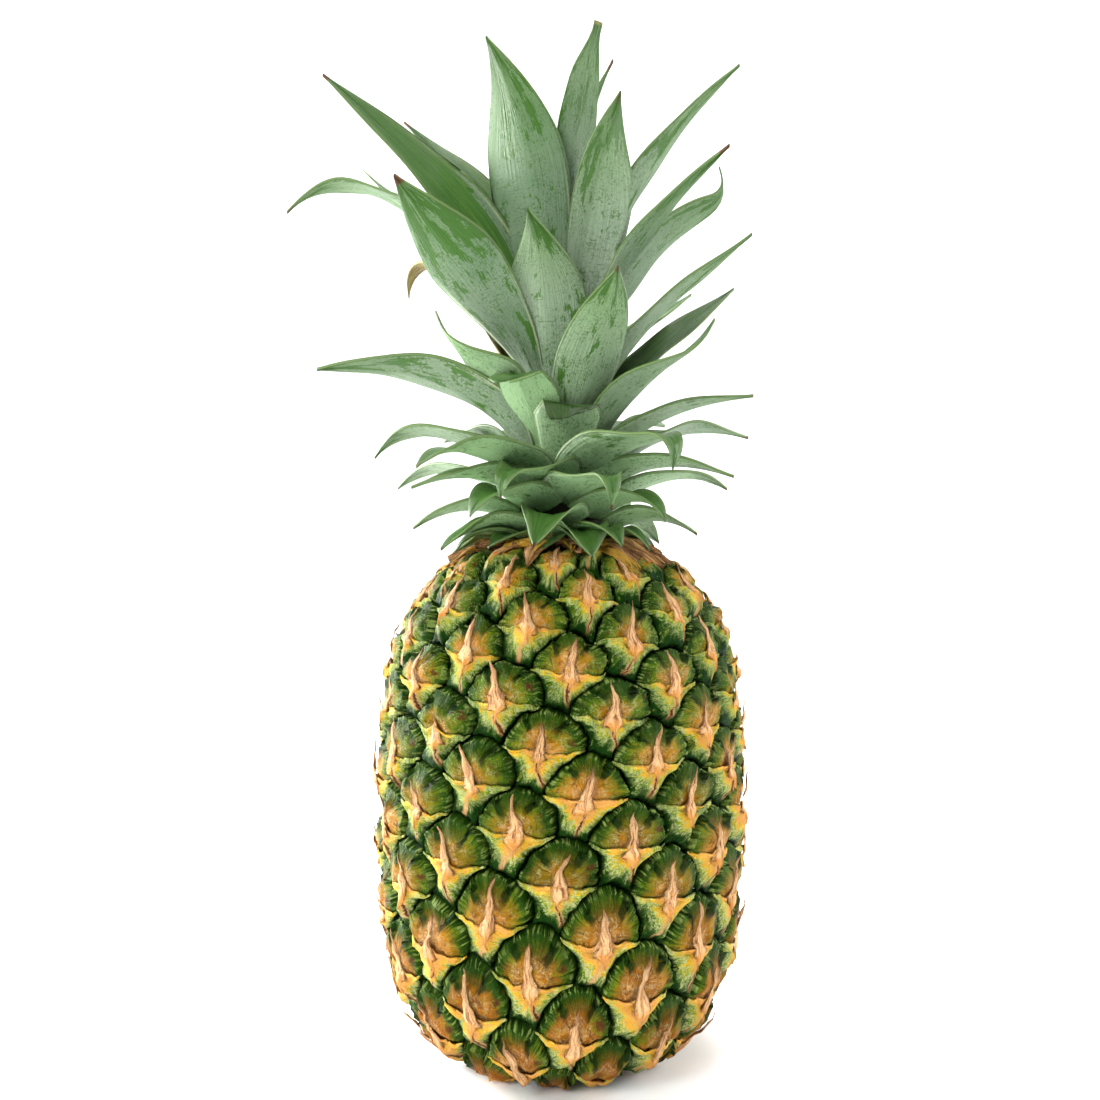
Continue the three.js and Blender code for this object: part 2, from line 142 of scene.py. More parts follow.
def heading(degrees: float, length: float) -> Vector:
    """A step of some length at an angle, as distance from the axis and height."""
    angle = math.radians(degrees)
    return Vector((math.cos(angle), math.sin(angle))) * length


def on_bearing(radius: float, bearing: float, height: float) -> Vector:
    """A point at a distance from the axis, on a bearing, at a height."""
    turn = math.radians(bearing)
    return Vector((radius * math.sin(turn), -radius * math.cos(turn), height))


def wandering(point: Vector) -> Vector:
    """A vector that changes smoothly from point to point and is the same in each run."""
    return Vector([noise.noise(point + Vector(offset)) for offset in WANDER_OFFSETS])


def shade(*levels: int) -> Colour:
    """A screen colour, as red, green and blue of 0 to 255, as the linear colour that shaders use."""
    values = [level / 255 for level in levels]
    return tuple(v / 12.92 if v <= 0.04045 else ((v + 0.055) / 1.055) ** 2.4 for v in values)


# ---- making meshes


@dataclass(frozen=True)
class RingPlace:
    """Where a vertex of a square grid lies when the grid is read as rings round its middle.

    Attributes:
        ring: 0 in the middle and 1 on the edge.
        turn: Share of the way round, from 0 to 1.
        level: The ring's number from the middle.
    """

    ring: float
    turn: float
    level: int


def ring_place(across: float, up: float, segments: int) -> RingPlace:
    """Reads a grid vertex as a place on one of the rings round the grid's middle.

    Args:
        across: The vertex's place from -1 to 1 along X.
        up: The vertex's place from -1 to 1 along Y.
        segments: Faces along one side of the grid.

    Returns:
        The ring and the share of the way round it, counter-clockwise from the lower right corner.
    """
    ring = max(abs(across), abs(up))
    if ring < TINY:
        return RingPlace(0.0, 0.0, 0)
    s, t = across / ring, up / ring
    if s > 1 - TINY and t < 1 - TINY:
        side = (t + 1) / 2
    elif t > 1 - TINY and s > -1 + TINY:
        side = 1 + (1 - s) / 2
    elif s < -1 + TINY and t > -1 + TINY:
        side = 2 + (1 - t) / 2
    else:
        side = 3 + (s + 1) / 2
    return RingPlace(ring, (side / 4) % 1.0, round(ring * segments / 2))


def shown(name: str, mesh: bmesh.types.BMesh, material: bpy.types.Material) -> bpy.types.Object:
    """Turns a mesh in the making into a smooth object in the scene.

    Args:
        name: The object's name.
        mesh: The bmesh, in metres, which is used up.
        material: Its one material.

    Returns:
        The new object.
    """
    data = bpy.data.meshes.new(name)
    mesh.to_mesh(data)
    mesh.free()
    for polygon in data.polygons:
        polygon.use_smooth = True
    data.materials.append(material)
    made = bpy.data.objects.new(name, data)
    bpy.context.scene.collection.objects.link(made)
    return made


class Sheet:
    """A mesh in the making, with named pairs of numbers that its finish reads.

    Attributes:
        mesh: The bmesh, in millimetres.
    """

    def __init__(self, *names: str) -> None:
        """Starts an empty mesh.

        Args:
            names: The UV layers, each holding one pair of numbers.
        """
        self.mesh = bmesh.new()
        self.layers = {name: self.mesh.loops.layers.uv.new(name) for name in names}

    def grid(self, columns: int, rows: int, place: Placer) -> list[bmesh.types.BMFace]:
        """Adds a grid and moves each vertex to where a formula puts it.

        Args:
            columns: Faces across the grid.
            rows: Faces up the grid.
            place: Gives a vertex's point and its pairs from its place across and up, each from -1 to 1.

        Returns:
            The new faces.
        """
        made = bmesh.ops.create_grid(self.mesh, x_segments=columns, y_segments=rows, size=1.0)
        pairs = {}
        for vertex in made["verts"]:
            vertex.co, pairs[vertex] = place(vertex.co.x, vertex.co.y)
        faces = list(dict.fromkeys(face for vertex in made["verts"] for face in vertex.link_faces))
        for face in faces:
            for loop in face.loops:
                for name, pair in pairs[loop.vert].items():
                    loop[self.layers[name]].uv = pair
        return faces

    def thicken(
        self, faces: list[bmesh.types.BMFace], thickness: float, name: str = "", pair: Pair = (0.0, 0.0)
    ) -> None:
        """Gives a sheet its thickness, behind the faces, and marks the new faces with a pair.

        Args:
            faces: The faces of the open sheet.
            thickness: How thick it becomes.
            name: The UV layer to mark, if any.
            pair: What the new faces hold in it.
        """
        made = bmesh.ops.solidify(self.mesh, geom=faces, thickness=thickness)
        if not name:
            return
        for item in made["geom"]:
            if isinstance(item, bmesh.types.BMFace):
                for loop in item.loops:
                    loop[self.layers[name]].uv = pair

    def finish(self, name: str, slot: Slot, material: bpy.types.Material, *nodes: str) -> bpy.types.Object:
        """Turns the mesh into a finished piece in metres.

        Args:
            name: The piece's name.
            slot: The record's slot for the piece. Not used.
            material: Its material.
            nodes: The CAD nodes that it stands for.

        Returns:
            The new object, riding on the part's body.
        """
        bmesh.ops.transform(self.mesh, matrix=Matrix.Scale(MILLIMETRE, 4), verts=self.mesh.verts)
        piece = shown(name, self.mesh, material)
        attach(piece, BODY)
        if nodes:
            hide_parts(*nodes)
        return piece


# ---- shader graphs


class Graph:
    """A material's nodes, built up from short calls.

    Attributes:
        material: The material that is built.
        shader: Its Principled shader.
    """

    def __init__(self, name: str) -> None:
        """Starts a material that holds only its shader and output."""
        self.material = bpy.data.materials.new(name)
        self.material.use_nodes = True
        self.tree = self.material.node_tree
        self.tree.nodes.clear()
        self.shader = self.tree.nodes.new("ShaderNodeBsdfPrincipled")
        output = self.tree.nodes.new("ShaderNodeOutputMaterial")
        self.tree.links.new(self.shader.outputs["BSDF"], output.inputs["Surface"])

    def feed(self, socket: Socket, value: object) -> None:
        """Links a socket to another, or gives it a plain value or colour."""
        if isinstance(value, Socket):
            self.tree.links.new(value, socket)
        elif isinstance(value, tuple) and socket.type == "RGBA":
            socket.default_value = (*value, 1.0)
        else:
            socket.default_value = value

    def maths(self, operation: str, *values: object) -> Socket:
        """One Math node.

        Args:
            operation: The node's operation.
            values: Sockets or numbers for its inputs.

        Returns:
            Its result.
        """
        made = self.tree.nodes.new("ShaderNodeMath")
        made.operation = operation
        for socket, value in zip(made.inputs, values):
            self.feed(socket, value)
        return made.outputs["Value"]

    def add(self, *values: object) -> Socket:
        """The sum of several values."""
        total = values[0]
        for value in values[1:]:
            total = self.maths("ADD", total, value)
        return total

    def times(self, *values: object) -> Socket:
        """The product of several values."""
        product = values[0]
        for value in values[1:]:
            product = self.maths("MULTIPLY", product, value)
        return product

    def stray(self, value: object, amount: float) -> Socket:
        """How far a value of 0 to 1 lies from its middle, times an amount."""
        return self.times(self.add(value, -0.5), amount)

    def size(self, value: object) -> Socket:
        """The value without its sign."""
        return self.maths("ABSOLUTE", value)

    def pair(self, name: str) -> tuple[Socket, Socket]:
        """The two numbers of a UV layer."""
        layer = self.tree.nodes.new("ShaderNodeUVMap")
        layer.uv_map = name
        split = self.tree.nodes.new("ShaderNodeSeparateXYZ")
        self.tree.links.new(layer.outputs["UV"], split.inputs["Vector"])
        return split.outputs["X"], split.outputs["Y"]

    def vector(self, x: object, y: object, z: object = 0.0) -> Socket:
        """A vector from three values."""
        made = self.tree.nodes.new("ShaderNodeCombineXYZ")
        for socket, value in zip(made.inputs, (x, y, z)):
            self.feed(socket, value)
        return made.outputs["Vector"]

    def scaled(self, *parts: tuple[object, float]) -> Socket:
        """A vector from three values, each times its own scale."""
        return self.vector(*(self.times(value, scale) for value, scale in parts))

    def object_place(self) -> Socket:
        """The place on the piece, in metres."""
        return self.tree.nodes.new("ShaderNodeTexCoord").outputs["Object"]

    def noise(self, vector: object, scale: float, detail: float = 2.0, roughness: float = 0.55) -> Socket:
        """Cloudy noise from 0 to 1.

        Args:
            vector: Where it is read.
            scale: Lumps in each unit of the vector.
            detail: Octaves of finer lumps.
            roughness: How strong the finer lumps are.

        Returns:
            The noise's factor.
        """
        made = self.tree.nodes.new("ShaderNodeTexNoise")
        self.feed(made.inputs["Vector"], vector)
        made.inputs["Scale"].default_value = scale
        made.inputs["Detail"].default_value = detail
        made.inputs["Roughness"].default_value = roughness
        return made.outputs["Fac"]

    def band(self, value: object, low: float, high: float, start: float = 0.0, end: float = 1.0) -> Socket:
        """A soft step of a value.

        Args:
            value: What is read.
            low: Where the step begins.
            high: Where it ends.
            start: The result below the step.
            end: The result above it.

        Returns:
            The stepped value.
        """
        made = self.tree.nodes.new("ShaderNodeMapRange")
        made.interpolation_type = "SMOOTHSTEP"
        ends = (high, low, end, start) if low > high else (low, high, start, end)
        self.feed(made.inputs["Value"], value)
        for name, number in zip(("From Min", "From Max", "To Min", "To Max"), ends):
            made.inputs[name].default_value = number
        return made.outputs["Result"]

    def ramp(self, value: object, places: Floats, colours: tuple[Colour, ...]) -> Socket:
        """A colour ramp.

        Args:
            value: What is read, from 0 to 1.
            places: Where the colours lie, in rising order.
            colours: The colour of each place.

        Returns:
            The ramp's colour.
        """
        made = self.tree.nodes.new("ShaderNodeValToRGB")
        self.feed(made.inputs["Fac"], value)
        elements = made.color_ramp.elements
        for element, end in zip(elements, (0, -1)):
            element.position = places[end]
            element.color = (*colours[end], 1.0)
        for place, colour in zip(places[1:-1], colours[1:-1]):
            elements.new(place).color = (*colour, 1.0)
        return made.outputs["Color"]

    def mix(self, share: object, first: object, second: object) -> Socket:
        """Mixes two colours.

        Args:
            share: How much of the second shows.
            first: The colour under it.
            second: The colour over it.

        Returns:
            The mixed colour.
        """
        made = self.tree.nodes.new("ShaderNodeMix")
        made.data_type = "RGBA"
        inputs = [socket for socket in made.inputs if socket.enabled]
        for socket, value in zip(inputs, (share, first, second)):
            self.feed(socket, value)
        return next(socket for socket in made.outputs if socket.enabled)

    def coat(self, base: object, colour: object, *shares: object) -> Socket:
        """A base with a second colour over it, which shows as much as the product of the shares."""
        return self.mix(self.times(*shares), base, colour)

    def dress(
        self, colour: object, roughness: object, height: object, depth: float, gloss: float
    ) -> bpy.types.Material:
        """Feeds the shader and gives the finished material.

        Args:
            colour: The base colour.
            roughness: The roughness.
            height: What the bump follows.
            depth: How deep the bump is, in metres.
            gloss: The specular level, the same all over.

        Returns:
            The material.
        """
        bump = self.tree.nodes.new("ShaderNodeBump")
        bump.inputs["Distance"].default_value = depth
        self.feed(bump.inputs["Height"], height)
        self.tree.links.new(bump.outputs["Normal"], self.shader.inputs["Normal"])
        self.feed(self.shader.inputs["Base Color"], colour)
        self.feed(self.shader.inputs["Roughness"], roughness)
        self.shader.inputs["Specular IOR Level"].default_value = gloss
        return self.material


# ---- finishes


@dataclass(frozen=True)
class DomeFinish:
    """The upper half of an eye: tan and ochre in the middle, then olive, and dark green at the rim, with
    painted shade in its groove and sepal creases and painted highlights on its rim's teeth.
    """

    heart: Colour = shade(204, 146, 72)
    ochre: Colour = shade(176, 118, 14)
    olive: Colour = shade(126, 116, 14)
    green: Colour = shade(82, 108, 12)
    deep: Colour = shade(28, 60, 4)
    rust: Colour = shade(158, 88, 18)
    # The groove colour is painted shade. It lies in the grooves between eyes and in the sepal creases.
    groove: Colour = shade(8, 30, 2)
    powder: Colour = shade(214, 192, 140)
    # Sage is the dewy speckle's own colour and also the painted highlight on the rim's teeth.
    sage: Colour = shade(146, 168, 88)
    scar: Colour = shade(84, 46, 20)
    places: Floats = (0.12, 0.3, 0.5, 0.7, 0.96)
    pit_place: Pair = (8.9, 2.5)
    sepal_slopes: Pair = (0.838, 2.129)
    depth: float = 0.0013
    gloss: float = 0.07

    def material(self) -> bpy.types.Material:
        """Builds the material from the UV layers eye, ring and chance."""
        g = Graph("dome")
        x, y = g.pair("eye")
        ring, height = g.pair("ring")
        warm, odd = g.pair("chance")
        place = g.vector(x, y, g.times(odd, 90.0))
        cloud = g.noise(place, 0.24, 3.0, 0.65)
        angle = g.maths("ARCTAN2", y, x)
        streak = g.noise(g.scaled((angle, 4.0), (ring, 1.6), (odd, 70.0)), 1.3, 4.0, 0.7)
        rays = g.noise(g.scaled((angle, 9.0), (ring, 0.9), (odd, 50.0)), 1.4, 2.0, 0.6)
        speckle = g.noise(place, 1.5, 3.0, 0.8)
        stroke = g.times(g.add(streak, -0.5), g.band(ring, 0.35, 0.75, 0.15, 0.6))
        far = g.add(ring, g.stray(cloud, 0.95), stroke, g.stray(speckle, 0.5))
        far = g.add(far, g.band(warm, 0.0, 1.0, 0.14, -0.14), g.band(height, 0.1, 0.95, 0.0, 0.05))
        base = g.ramp(far, self.places, (self.heart, self.ochre, self.olive, self.green, self.deep))
        patch = g.noise(place, 0.3, 2.0)
        rusty = g.times(g.band(cloud, 0.34, 0.52), g.band(ring, 0.15, 0.35), g.band(ring, 0.8, 0.6))
        base = g.coat(base, self.rust, rusty, g.band(height, 0.75, 0.05, 0.0, 0.9))
        dusty = g.times(g.band(patch, 0.4, 0.58), g.band(ring, 0.75, 0.3), g.band(speckle, 0.44, 0.6))
        base = g.coat(base, self.powder, dusty, 0.6)
        dew = g.times(g.band(speckle, 0.5, 0.68), g.band(ring, 0.3, 0.5))
        base = g.coat(base, self.sage, dew, g.band(height, 0.2, 0.9, 0.12, 0.85))
        burnt = g.times(g.band(g.noise(place, 0.5, 3.0, 0.7), 0.57, 0.66), g.band(ring, 0.05, 0.35))
        base = g.coat(base, self.scar, burnt, 0.6)
        scratch = g.times(g.band(streak, 0.58, 0.68), g.band(ring, 0.12, 0.25), g.band(ring, 0.6, 0.45))
        base = g.coat(base, self.scar, scratch, 0.5)
        # Painted shade: the groove colour along the creases where the side sepals lie over the top one.
        for slope in self.sepal_slopes:
            beside = g.size(g.add(angle, -slope, g.stray(cloud, 0.3)))
            fold = g.times(g.band(g.times(beside, ring), 0.11, 0.04), g.band(ring, 0.35, 0.6))
            base = g.coat(base, self.groove, fold, 0.9)
        top = g.size(g.add(angle, -math.pi / 2, g.stray(cloud, 0.3)))
        base = g.coat(base, self.deep, g.band(top, 0.64, 0.56), g.band(ring, 0.4, 0.6), 0.6)
        base = g.coat(base, self.deep, g.band(rays, 0.46, 0.58), g.band(ring, 0.5, 0.82), 0.85)
        stray = g.stray(warm, 3.0)
        reach_x, reach_y = g.add(x, -self.pit_place[0]), g.add(y, -self.pit_place[1], stray)
        pit = g.maths("SQRT", g.add(g.times(reach_x, reach_x, 0.5), g.times(reach_y, reach_y)))
        pit = g.add(pit, g.stray(speckle, 3.0))
        base = g.coat(base, self.scar, g.band(pit, 1.3, 0.5), g.band(odd, 0.6, 0.61, 0.0, 0.85))
        edge = g.add(ring, g.stray(rays, 0.16), g.stray(speckle, 0.05))
        # Painted highlight: pale sage on the rim's teeth.
        tooth = g.times(g.band(edge, 0.8, 0.86), g.band(edge, 0.93, 0.89), g.band(rays, 0.5, 0.42))
        base = g.coat(base, self.sage, tooth, g.band(cloud, 0.35, 0.6, 0.2, 0.8))
        # Painted shade: the rim darkens to the groove colour where it falls into the groove.
        base = g.coat(base, self.groove, g.band(edge, 0.91, 0.975))
        fine = g.add(g.times(speckle, 0.7), g.times(streak, 1.1), g.times(rays, 0.8), g.times(cloud, 0.5))
        rough = g.band(speckle, 0.3, 0.7, 0.36, 0.6)
        return g.dress(base, rough, fine, self.depth, self.gloss)


@dataclass(frozen=True)
class BractFinish:
    """A star-shaped bract: peach and yellow by the spine, frosted green outwards, with a dry scar, and painted
    shade in its creases and along its sunken lower edges.
    """

    peach: Colour = shade(230, 166, 84)
    yellow: Colour = shade(228, 176, 10)
    lime: Colour = shade(146, 158, 14)
    green: Colour = shade(66, 110, 14)
    deep: Colour = shade(18, 54, 4)
    frost: Colour = shade(206, 206, 144)
    scar: Colour = shade(92, 54, 28)
    scar_edge: Colour = shade(214, 160, 106)
    places: Floats = (0.2, 0.37, 0.54, 0.72, 1.0)
    depth: float = 0.0012
    gloss: float = 0.07

    def material(self) -> bpy.types.Material:
        """Builds the material from the UV layers eye, ring and chance."""
        g = Graph("bract")
        x, y = g.pair("eye")
        ring, height = g.pair("ring")
        warm, odd = g.pair("chance")
        place = g.vector(x, y, g.times(odd, 80.0))
        cloud = g.noise(place, 0.3, 3.0, 0.65)
        low = g.add(y, 2.0)
        spread = g.maths("SQRT", g.add(g.times(x, x, 0.4), g.times(low, low, 0.9)))
        angle = g.maths("ARCTAN2", low, x)
        streak = g.noise(g.scaled((angle, 4.0), (spread, 0.1), (odd, 60.0)), 2.0, 4.0, 0.7)
        speckle = g.noise(place, 1.6, 3.0, 0.8)
        far = g.add(g.times(spread, 0.088), g.times(ring, 0.52), g.stray(cloud, 0.8))
        far = g.add(far, g.stray(streak, 0.8), g.stray(speckle, 0.45))
        far = g.add(far, g.band(warm, 0.0, 1.0, 0.12, -0.14), g.band(height, 0.1, 0.95, -0.12, 0.08))
        base = g.ramp(far, self.places, (self.peach, self.yellow, self.lime, self.green, self.deep))
        frosted = g.times(g.band(far, 0.3, 0.5), g.band(far, 1.05, 0.75), g.band(height, 0.2, 0.9, 0.85, 0.6))
        base = g.coat(base, self.frost, g.band(speckle, 0.42, 0.6), frosted)
        # Painted shade: deep green along two creases in the bract's lower part.
        for side in (-1.0, 1.0):
            crease = g.add(x, g.times(g.add(y, 4.5), 0.42 * side), g.stray(streak, 2.0))
            crease = g.times(g.band(g.size(crease), 0.6, 0.15), g.band(y, -6.0, -8.0))
            base = g.coat(base, self.deep, crease, 0.75)
        sway = g.times(g.add(g.noise(g.vector(0.0, g.times(y, 0.3), g.times(odd, 40.0)), 1.0), -0.5), 3.0)
        slant = g.times(g.add(y, 4.0), g.band(odd, 0.0, 1.0, 0.7, -0.35))
        line = g.size(g.add(x, sway, g.times(slant, -1.0)))
        stretch = g.times(g.band(y, -3.0, -4.4), g.band(y, -11.0, -8.4))
        base = g.coat(base, self.scar_edge, g.band(line, 1.3, 0.5), stretch, 0.7)
        torn = g.add(line, g.stray(speckle, 1.2))
        scar = g.times(g.band(torn, 0.45, 0.1), stretch, g.band(odd, 0.15, 0.35))
        base = g.coat(base, self.scar, scar)
        # Painted shade: deep green where the bract's edge sinks into the groove.
        edge = g.add(ring, g.stray(streak, 0.2))
        base = g.coat(base, self.deep, g.band(edge, 0.8, 1.0))
        fine = g.add(g.times(speckle, 0.8), g.times(streak, 1.2), g.times(scar, -0.8), g.times(cloud, 0.4))
        rough = g.band(speckle, 0.3, 0.7, 0.38, 0.62)
        return g.dress(base, rough, fine, self.depth, self.gloss)


@dataclass(frozen=True)
class SpineFinish:
    """A dry papery spine: peach with brown lines along it."""

    pale: Colour = shade(230, 190, 136)
    tan: Colour = shade(184, 126, 78)
    brown: Colour = shade(100, 56, 32)
    root: Colour = shade(218, 146, 62)
    depth: float = 0.001
    gloss: float = 0.2

    def material(self) -> bpy.types.Material:
        """Builds the material from the UV layers blade and chance."""
        g = Graph("spine")
        across, share = g.pair("blade")
        warm, odd = g.pair("chance")
        lines = g.noise(g.scaled((across, 1.9), (share, 2.4), (odd, 50.0)), 1.5, 4.0, 0.75)
        grain = g.noise(g.scaled((across, 2.0), (share, 14.0), (odd, 20.0)), 1.2, 3.0, 0.75)
        base = g.mix(g.band(lines, 0.4, 0.6), self.tan, self.pale)
        base = g.coat(base, self.tan, g.band(grain, 0.5, 0.7, 0.0, 0.6))
        base = g.coat(base, self.brown, g.band(lines, 0.46, 0.36, 0.0, 0.9))
        base = g.coat(base, self.brown, g.band(share, 0.6, 1.0), g.band(warm, 0.4, 0.9, 0.1, 0.8))
        edge = g.size(across)
        base = g.coat(base, self.brown, g.band(edge, 0.6, 1.0, 0.0, 0.8), g.band(grain, 0.6, 0.4))
        rooted = g.add(share, g.stray(lines, 0.2), g.times(edge, -0.05))
        base = g.coat(base, self.root, g.band(rooted, 0.3, 0.14, 0.0, 0.8))
        rough = g.band(lines, 0.3, 0.7, 0.55, 0.8)
        return g.dress(base, rough, g.add(lines, g.times(grain, 0.6)), self.depth, self.gloss)


@dataclass(frozen=True)
class LeafFinish:
    """A leaf: grey-green wax outside, rubbed through to fresh green in streaks, and brighter green inside;
    short leaves are painted lighter against their shade, and folded ends are darkened partly as painted shade.
    """

    wax: Colour = shade(127, 147, 118)
    # Greener, and painted lighter against their shade, for the short leaves low in the crown.
    short_leaf_green_painted_light: Colour = shade(142, 184, 122)
    deep_wax: Colour = shade(90, 118, 86)
    cream: Colour = shade(206, 212, 176)
    scuffed: Colour = shade(58, 92, 48)
    fresh: Colour = shade(54, 98, 20)
    bright: Colour = shade(92, 134, 52)
    inner: Colour = shade(52, 96, 32)
    margin: Colour = shade(60, 88, 36)
    edge: Colour = shade(120, 144, 88)
    # Darker green of folded ends, partly aged colour and partly painted shade.
    stale_and_painted_shade: Colour = shade(40, 58, 26)
    straw: Colour = shade(178, 162, 100)
    dry: Colour = shade(92, 62, 34)
    depth: float = 0.0007
    gloss: float = 0.3

    def material(self) -> bpy.types.Material:
        """Builds the material from the UV layers blade, face, chance and bloom."""
        g = Graph("leaf")
        across, share = g.pair("blade")
        inside, length = g.pair("face")
        tone, odd = g.pair("chance")
        bare, cut = g.pair("bloom")
        run = g.times(share, length)
        place = g.scaled((across, 10.0), (run, 100.0), (odd, 100.0))
        lines = g.noise(g.scaled((across, 22.0), (run, 4.0), (odd, 60.0)), 1.0, 4.0, 0.65)
        cloud = g.noise(place, 0.05, 3.0, 0.6)
        grain = g.noise(place, 1.3, 3.0, 0.8)
        deep = g.add(g.times(g.add(cloud, -0.3), 1.2), g.stray(tone, 0.6))
        # Painted light: short leaves take less of the darker wax, against the shade of the leaves above.
        deep = g.add(deep, g.band(share, 0.3, 0.9, -0.1, 0.25), g.band(length, 0.9, 0.55, 0.0, -0.4))
        wax = g.mix(deep, self.wax, self.deep_wax)
        wax = g.coat(wax, self.deep_wax, g.band(lines, 0.42, 0.72, 0.0, 0.4))
        # Partly real and partly painted light: short leaves turn a greener, lighter green that offsets their
        # shade.
        wax = g.coat(wax, self.short_leaf_green_painted_light, g.band(length, 0.72, 0.4, 0.0, 0.75))
        worn = g.add(g.noise(place, 0.12, 3.0, 0.6), g.band(share, 0.6, 1.0, 0.0, 0.15), g.times(bare, 0.3))
        worn = g.band(worn, 0.42, 0.6, 0.3, 1.0)
        wax = g.coat(wax, self.scuffed, g.band(grain, 0.49, 0.6), worn, 0.7)
        wax = g.coat(wax, self.bright, g.band(share, 0.55, 1.0), 0.45)
        rub = g.noise(g.scaled((across, 3.2), (run, 9.0), (odd, 33.0)), 0.75, 5.0, 0.72)
        level = g.add(rub, g.band(share, 0.5, 1.0, 0.0, 0.1), g.times(bare, 0.35))
        level = g.add(level, g.band(share, 0.3, 0.0, 0.0, -0.2), g.stray(grain, 0.1))
        rubbed = g.band(level, 0.58, 0.62)
        dashes = g.noise(g.scaled((across, 9.0), (run, 26.0), (odd, 12.0)), 1.6, 3.0, 0.75)
        specks = g.times(g.band(dashes, 0.6, 0.65), g.band(cloud, 0.3, 0.5))
        outer = g.coat(wax, self.fresh, g.maths("MAXIMUM", rubbed, specks), 0.95)
        fresh = g.mix(g.band(lines, 0.35, 0.65, 0.0, 0.75), self.inner, self.bright)
        fresh = g.coat(fresh, self.edge, g.band(g.size(across), 0.55, 0.95, 0.0, 0.5))
        fresh = g.coat(fresh, self.scuffed, g.band(grain, 0.5, 0.62), worn, 0.5)
        fresh = g.coat(fresh, self.wax, g.band(cloud, 0.55, 0.7), 0.12)
        # The folded ends, and the inside of rubbed blades, darken: partly with age and partly as painted shade.
        fresh = g.coat(fresh, self.stale_and_painted_shade, bare, g.band(lines, 0.3, 0.6, 1.0, 0.6))
        base = g.mix(inside, outer, fresh)
        side = g.size(across)
        rim = g.add(side, g.stray(grain, 0.1))
        pale = g.times(g.band(rim, 0.84, 0.93), g.band(share, 0.7, 0.4), g.band(lines, 0.35, 0.6))
        pale = g.times(pale, g.band(tone, 0.3, 0.4), g.band(length, 0.7, 0.95, 0.25, 1.0))
        base = g.coat(base, self.cream, pale, g.band(inside, 1.0, 0.0, 0.0, 0.65))
        base = g.coat(base, self.margin, g.band(rim, 0.94, 0.98, 0.0, 0.75))
        base = g.coat(base, self.edge, g.band(side, 0.995, 1.0, 0.0, 0.35))
        tip = g.add(share, g.stray(lines, 0.03), g.band(odd, 0.0, 1.0, -0.03, 0.02))
        base = g.coat(base, self.dry, g.band(tip, 0.985, 0.995), g.band(tone, 0.2, 0.9, 0.3, 1.0))
        fibre = g.add(g.stray(lines, 1.4), g.stray(cloud, 0.9))
        frayed = g.add(cut, g.stray(grain, 0.5), g.times(fibre, cut))
        base = g.coat(base, self.straw, g.band(frayed, 0.6, 0.8))
        base = g.coat(base, self.dry, g.band(frayed, 0.85, 1.0))
        rough = g.add(g.band(rubbed, 0.0, 1.0, 0.52, 0.38), g.times(inside, -0.08))
        fine = g.add(g.times(lines, 1.0), g.times(cloud, 0.5), g.times(grain, 0.25), g.times(rubbed, -0.15))
        return g.dress(base, rough, fine, self.depth, self.gloss)


@dataclass(frozen=True)
class DryBractFinish:
    """Crinkled dead bracts round the foot of the crown: brown, tan and gold, with painted shade on the stem and
    at the bracts' roots.
    """

    brown: Colour = shade(124, 80, 46)
    tan: Colour = shade(202, 152, 98)
    gold: Colour = shade(208, 160, 58)
    # This colour also serves as painted shade on the stem and at the bracts' roots.
    dark: Colour = shade(40, 38, 18)
    roughness: float = 0.7
    depth: float = 0.0008
    gloss: float = 0.3

    def material(self) -> bpy.types.Material:
        """Builds the material from the UV layers blade and chance."""
        g = Graph("dry_bract")
        across, share = g.pair("blade")
        tone, odd = g.pair("chance")
        place = g.scaled((across, 3.0), (share, 3.0), (odd, 60.0))
        crinkle = g.noise(place, 1.4, 4.0, 0.7)
        lines = g.noise(g.vector(g.times(across, 8.0), share, g.times(odd, 20.0)), 1.4, 2.0)
        base = g.mix(g.band(crinkle, 0.35, 0.65), self.brown, self.tan)
        base = g.coat(base, self.gold, g.band(tone, 0.5, 0.7))
        base = g.coat(base, self.dark, g.band(lines, 0.55, 0.7, 0.0, 0.7))
        # Painted shade: the stem and the bracts' roots go to the dark colour, as shade in the gaps between
        # leaves.
        base = g.coat(base, self.dark, g.band(share, 0.3, 0.0))
        return g.dress(base, self.roughness, g.add(crinkle, lines), self.depth, self.gloss)


@dataclass(frozen=True)
class CutStalkFinish:
    """The pale fibrous end of the cut stalk."""

    pale: Colour = shade(206, 188, 142)
    brown: Colour = shade(142, 108, 64)
    roughness: float = 0.85
    depth: float = 0.0006
    gloss: float = 0.25

    def material(self) -> bpy.types.Material:
        """Builds the material from the place on the piece."""
        g = Graph("cut_stalk")
        place = g.object_place()
        fibres = g.noise(place, 900.0, 3.0, 0.6)
        cloud = g.noise(place, 160.0, 2.0)
        base = g.mix(g.band(fibres, 0.42, 0.62), self.brown, self.pale)
        base = g.coat(base, self.brown, g.band(cloud, 0.35, 0.7, 0.0, 0.5))
        return g.dress(base, self.roughness, fibres, self.depth, self.gloss)


@dataclass(frozen=True)
class PaperFinish:
    """The plain pale surface that the pineapple stands on."""

    white: Colour = shade(250, 250, 250)
    fleck: Colour = shade(236, 236, 238)
    roughness: float = 0.9
    depth: float = 0.00002
    gloss: float = 0.1

    def material(self) -> bpy.types.Material:
        """Builds the material, with a faint grain."""
        g = Graph("paper")
        grain = g.noise(g.object_place(), 400.0, 2.0)
        colour = g.mix(g.band(grain, 0.3, 0.7, 0.0, 0.02), self.white, self.fleck)
        return g.dress(colour, self.roughness, grain, self.depth, self.gloss)


# ---- fruit


@dataclass(frozen=True)
class ShellPlace:
    """One place on the fruit's profile: distance from the axis, height, and the way out of the shell."""

    radius: float
    height: float
    outward: float
    upward: float


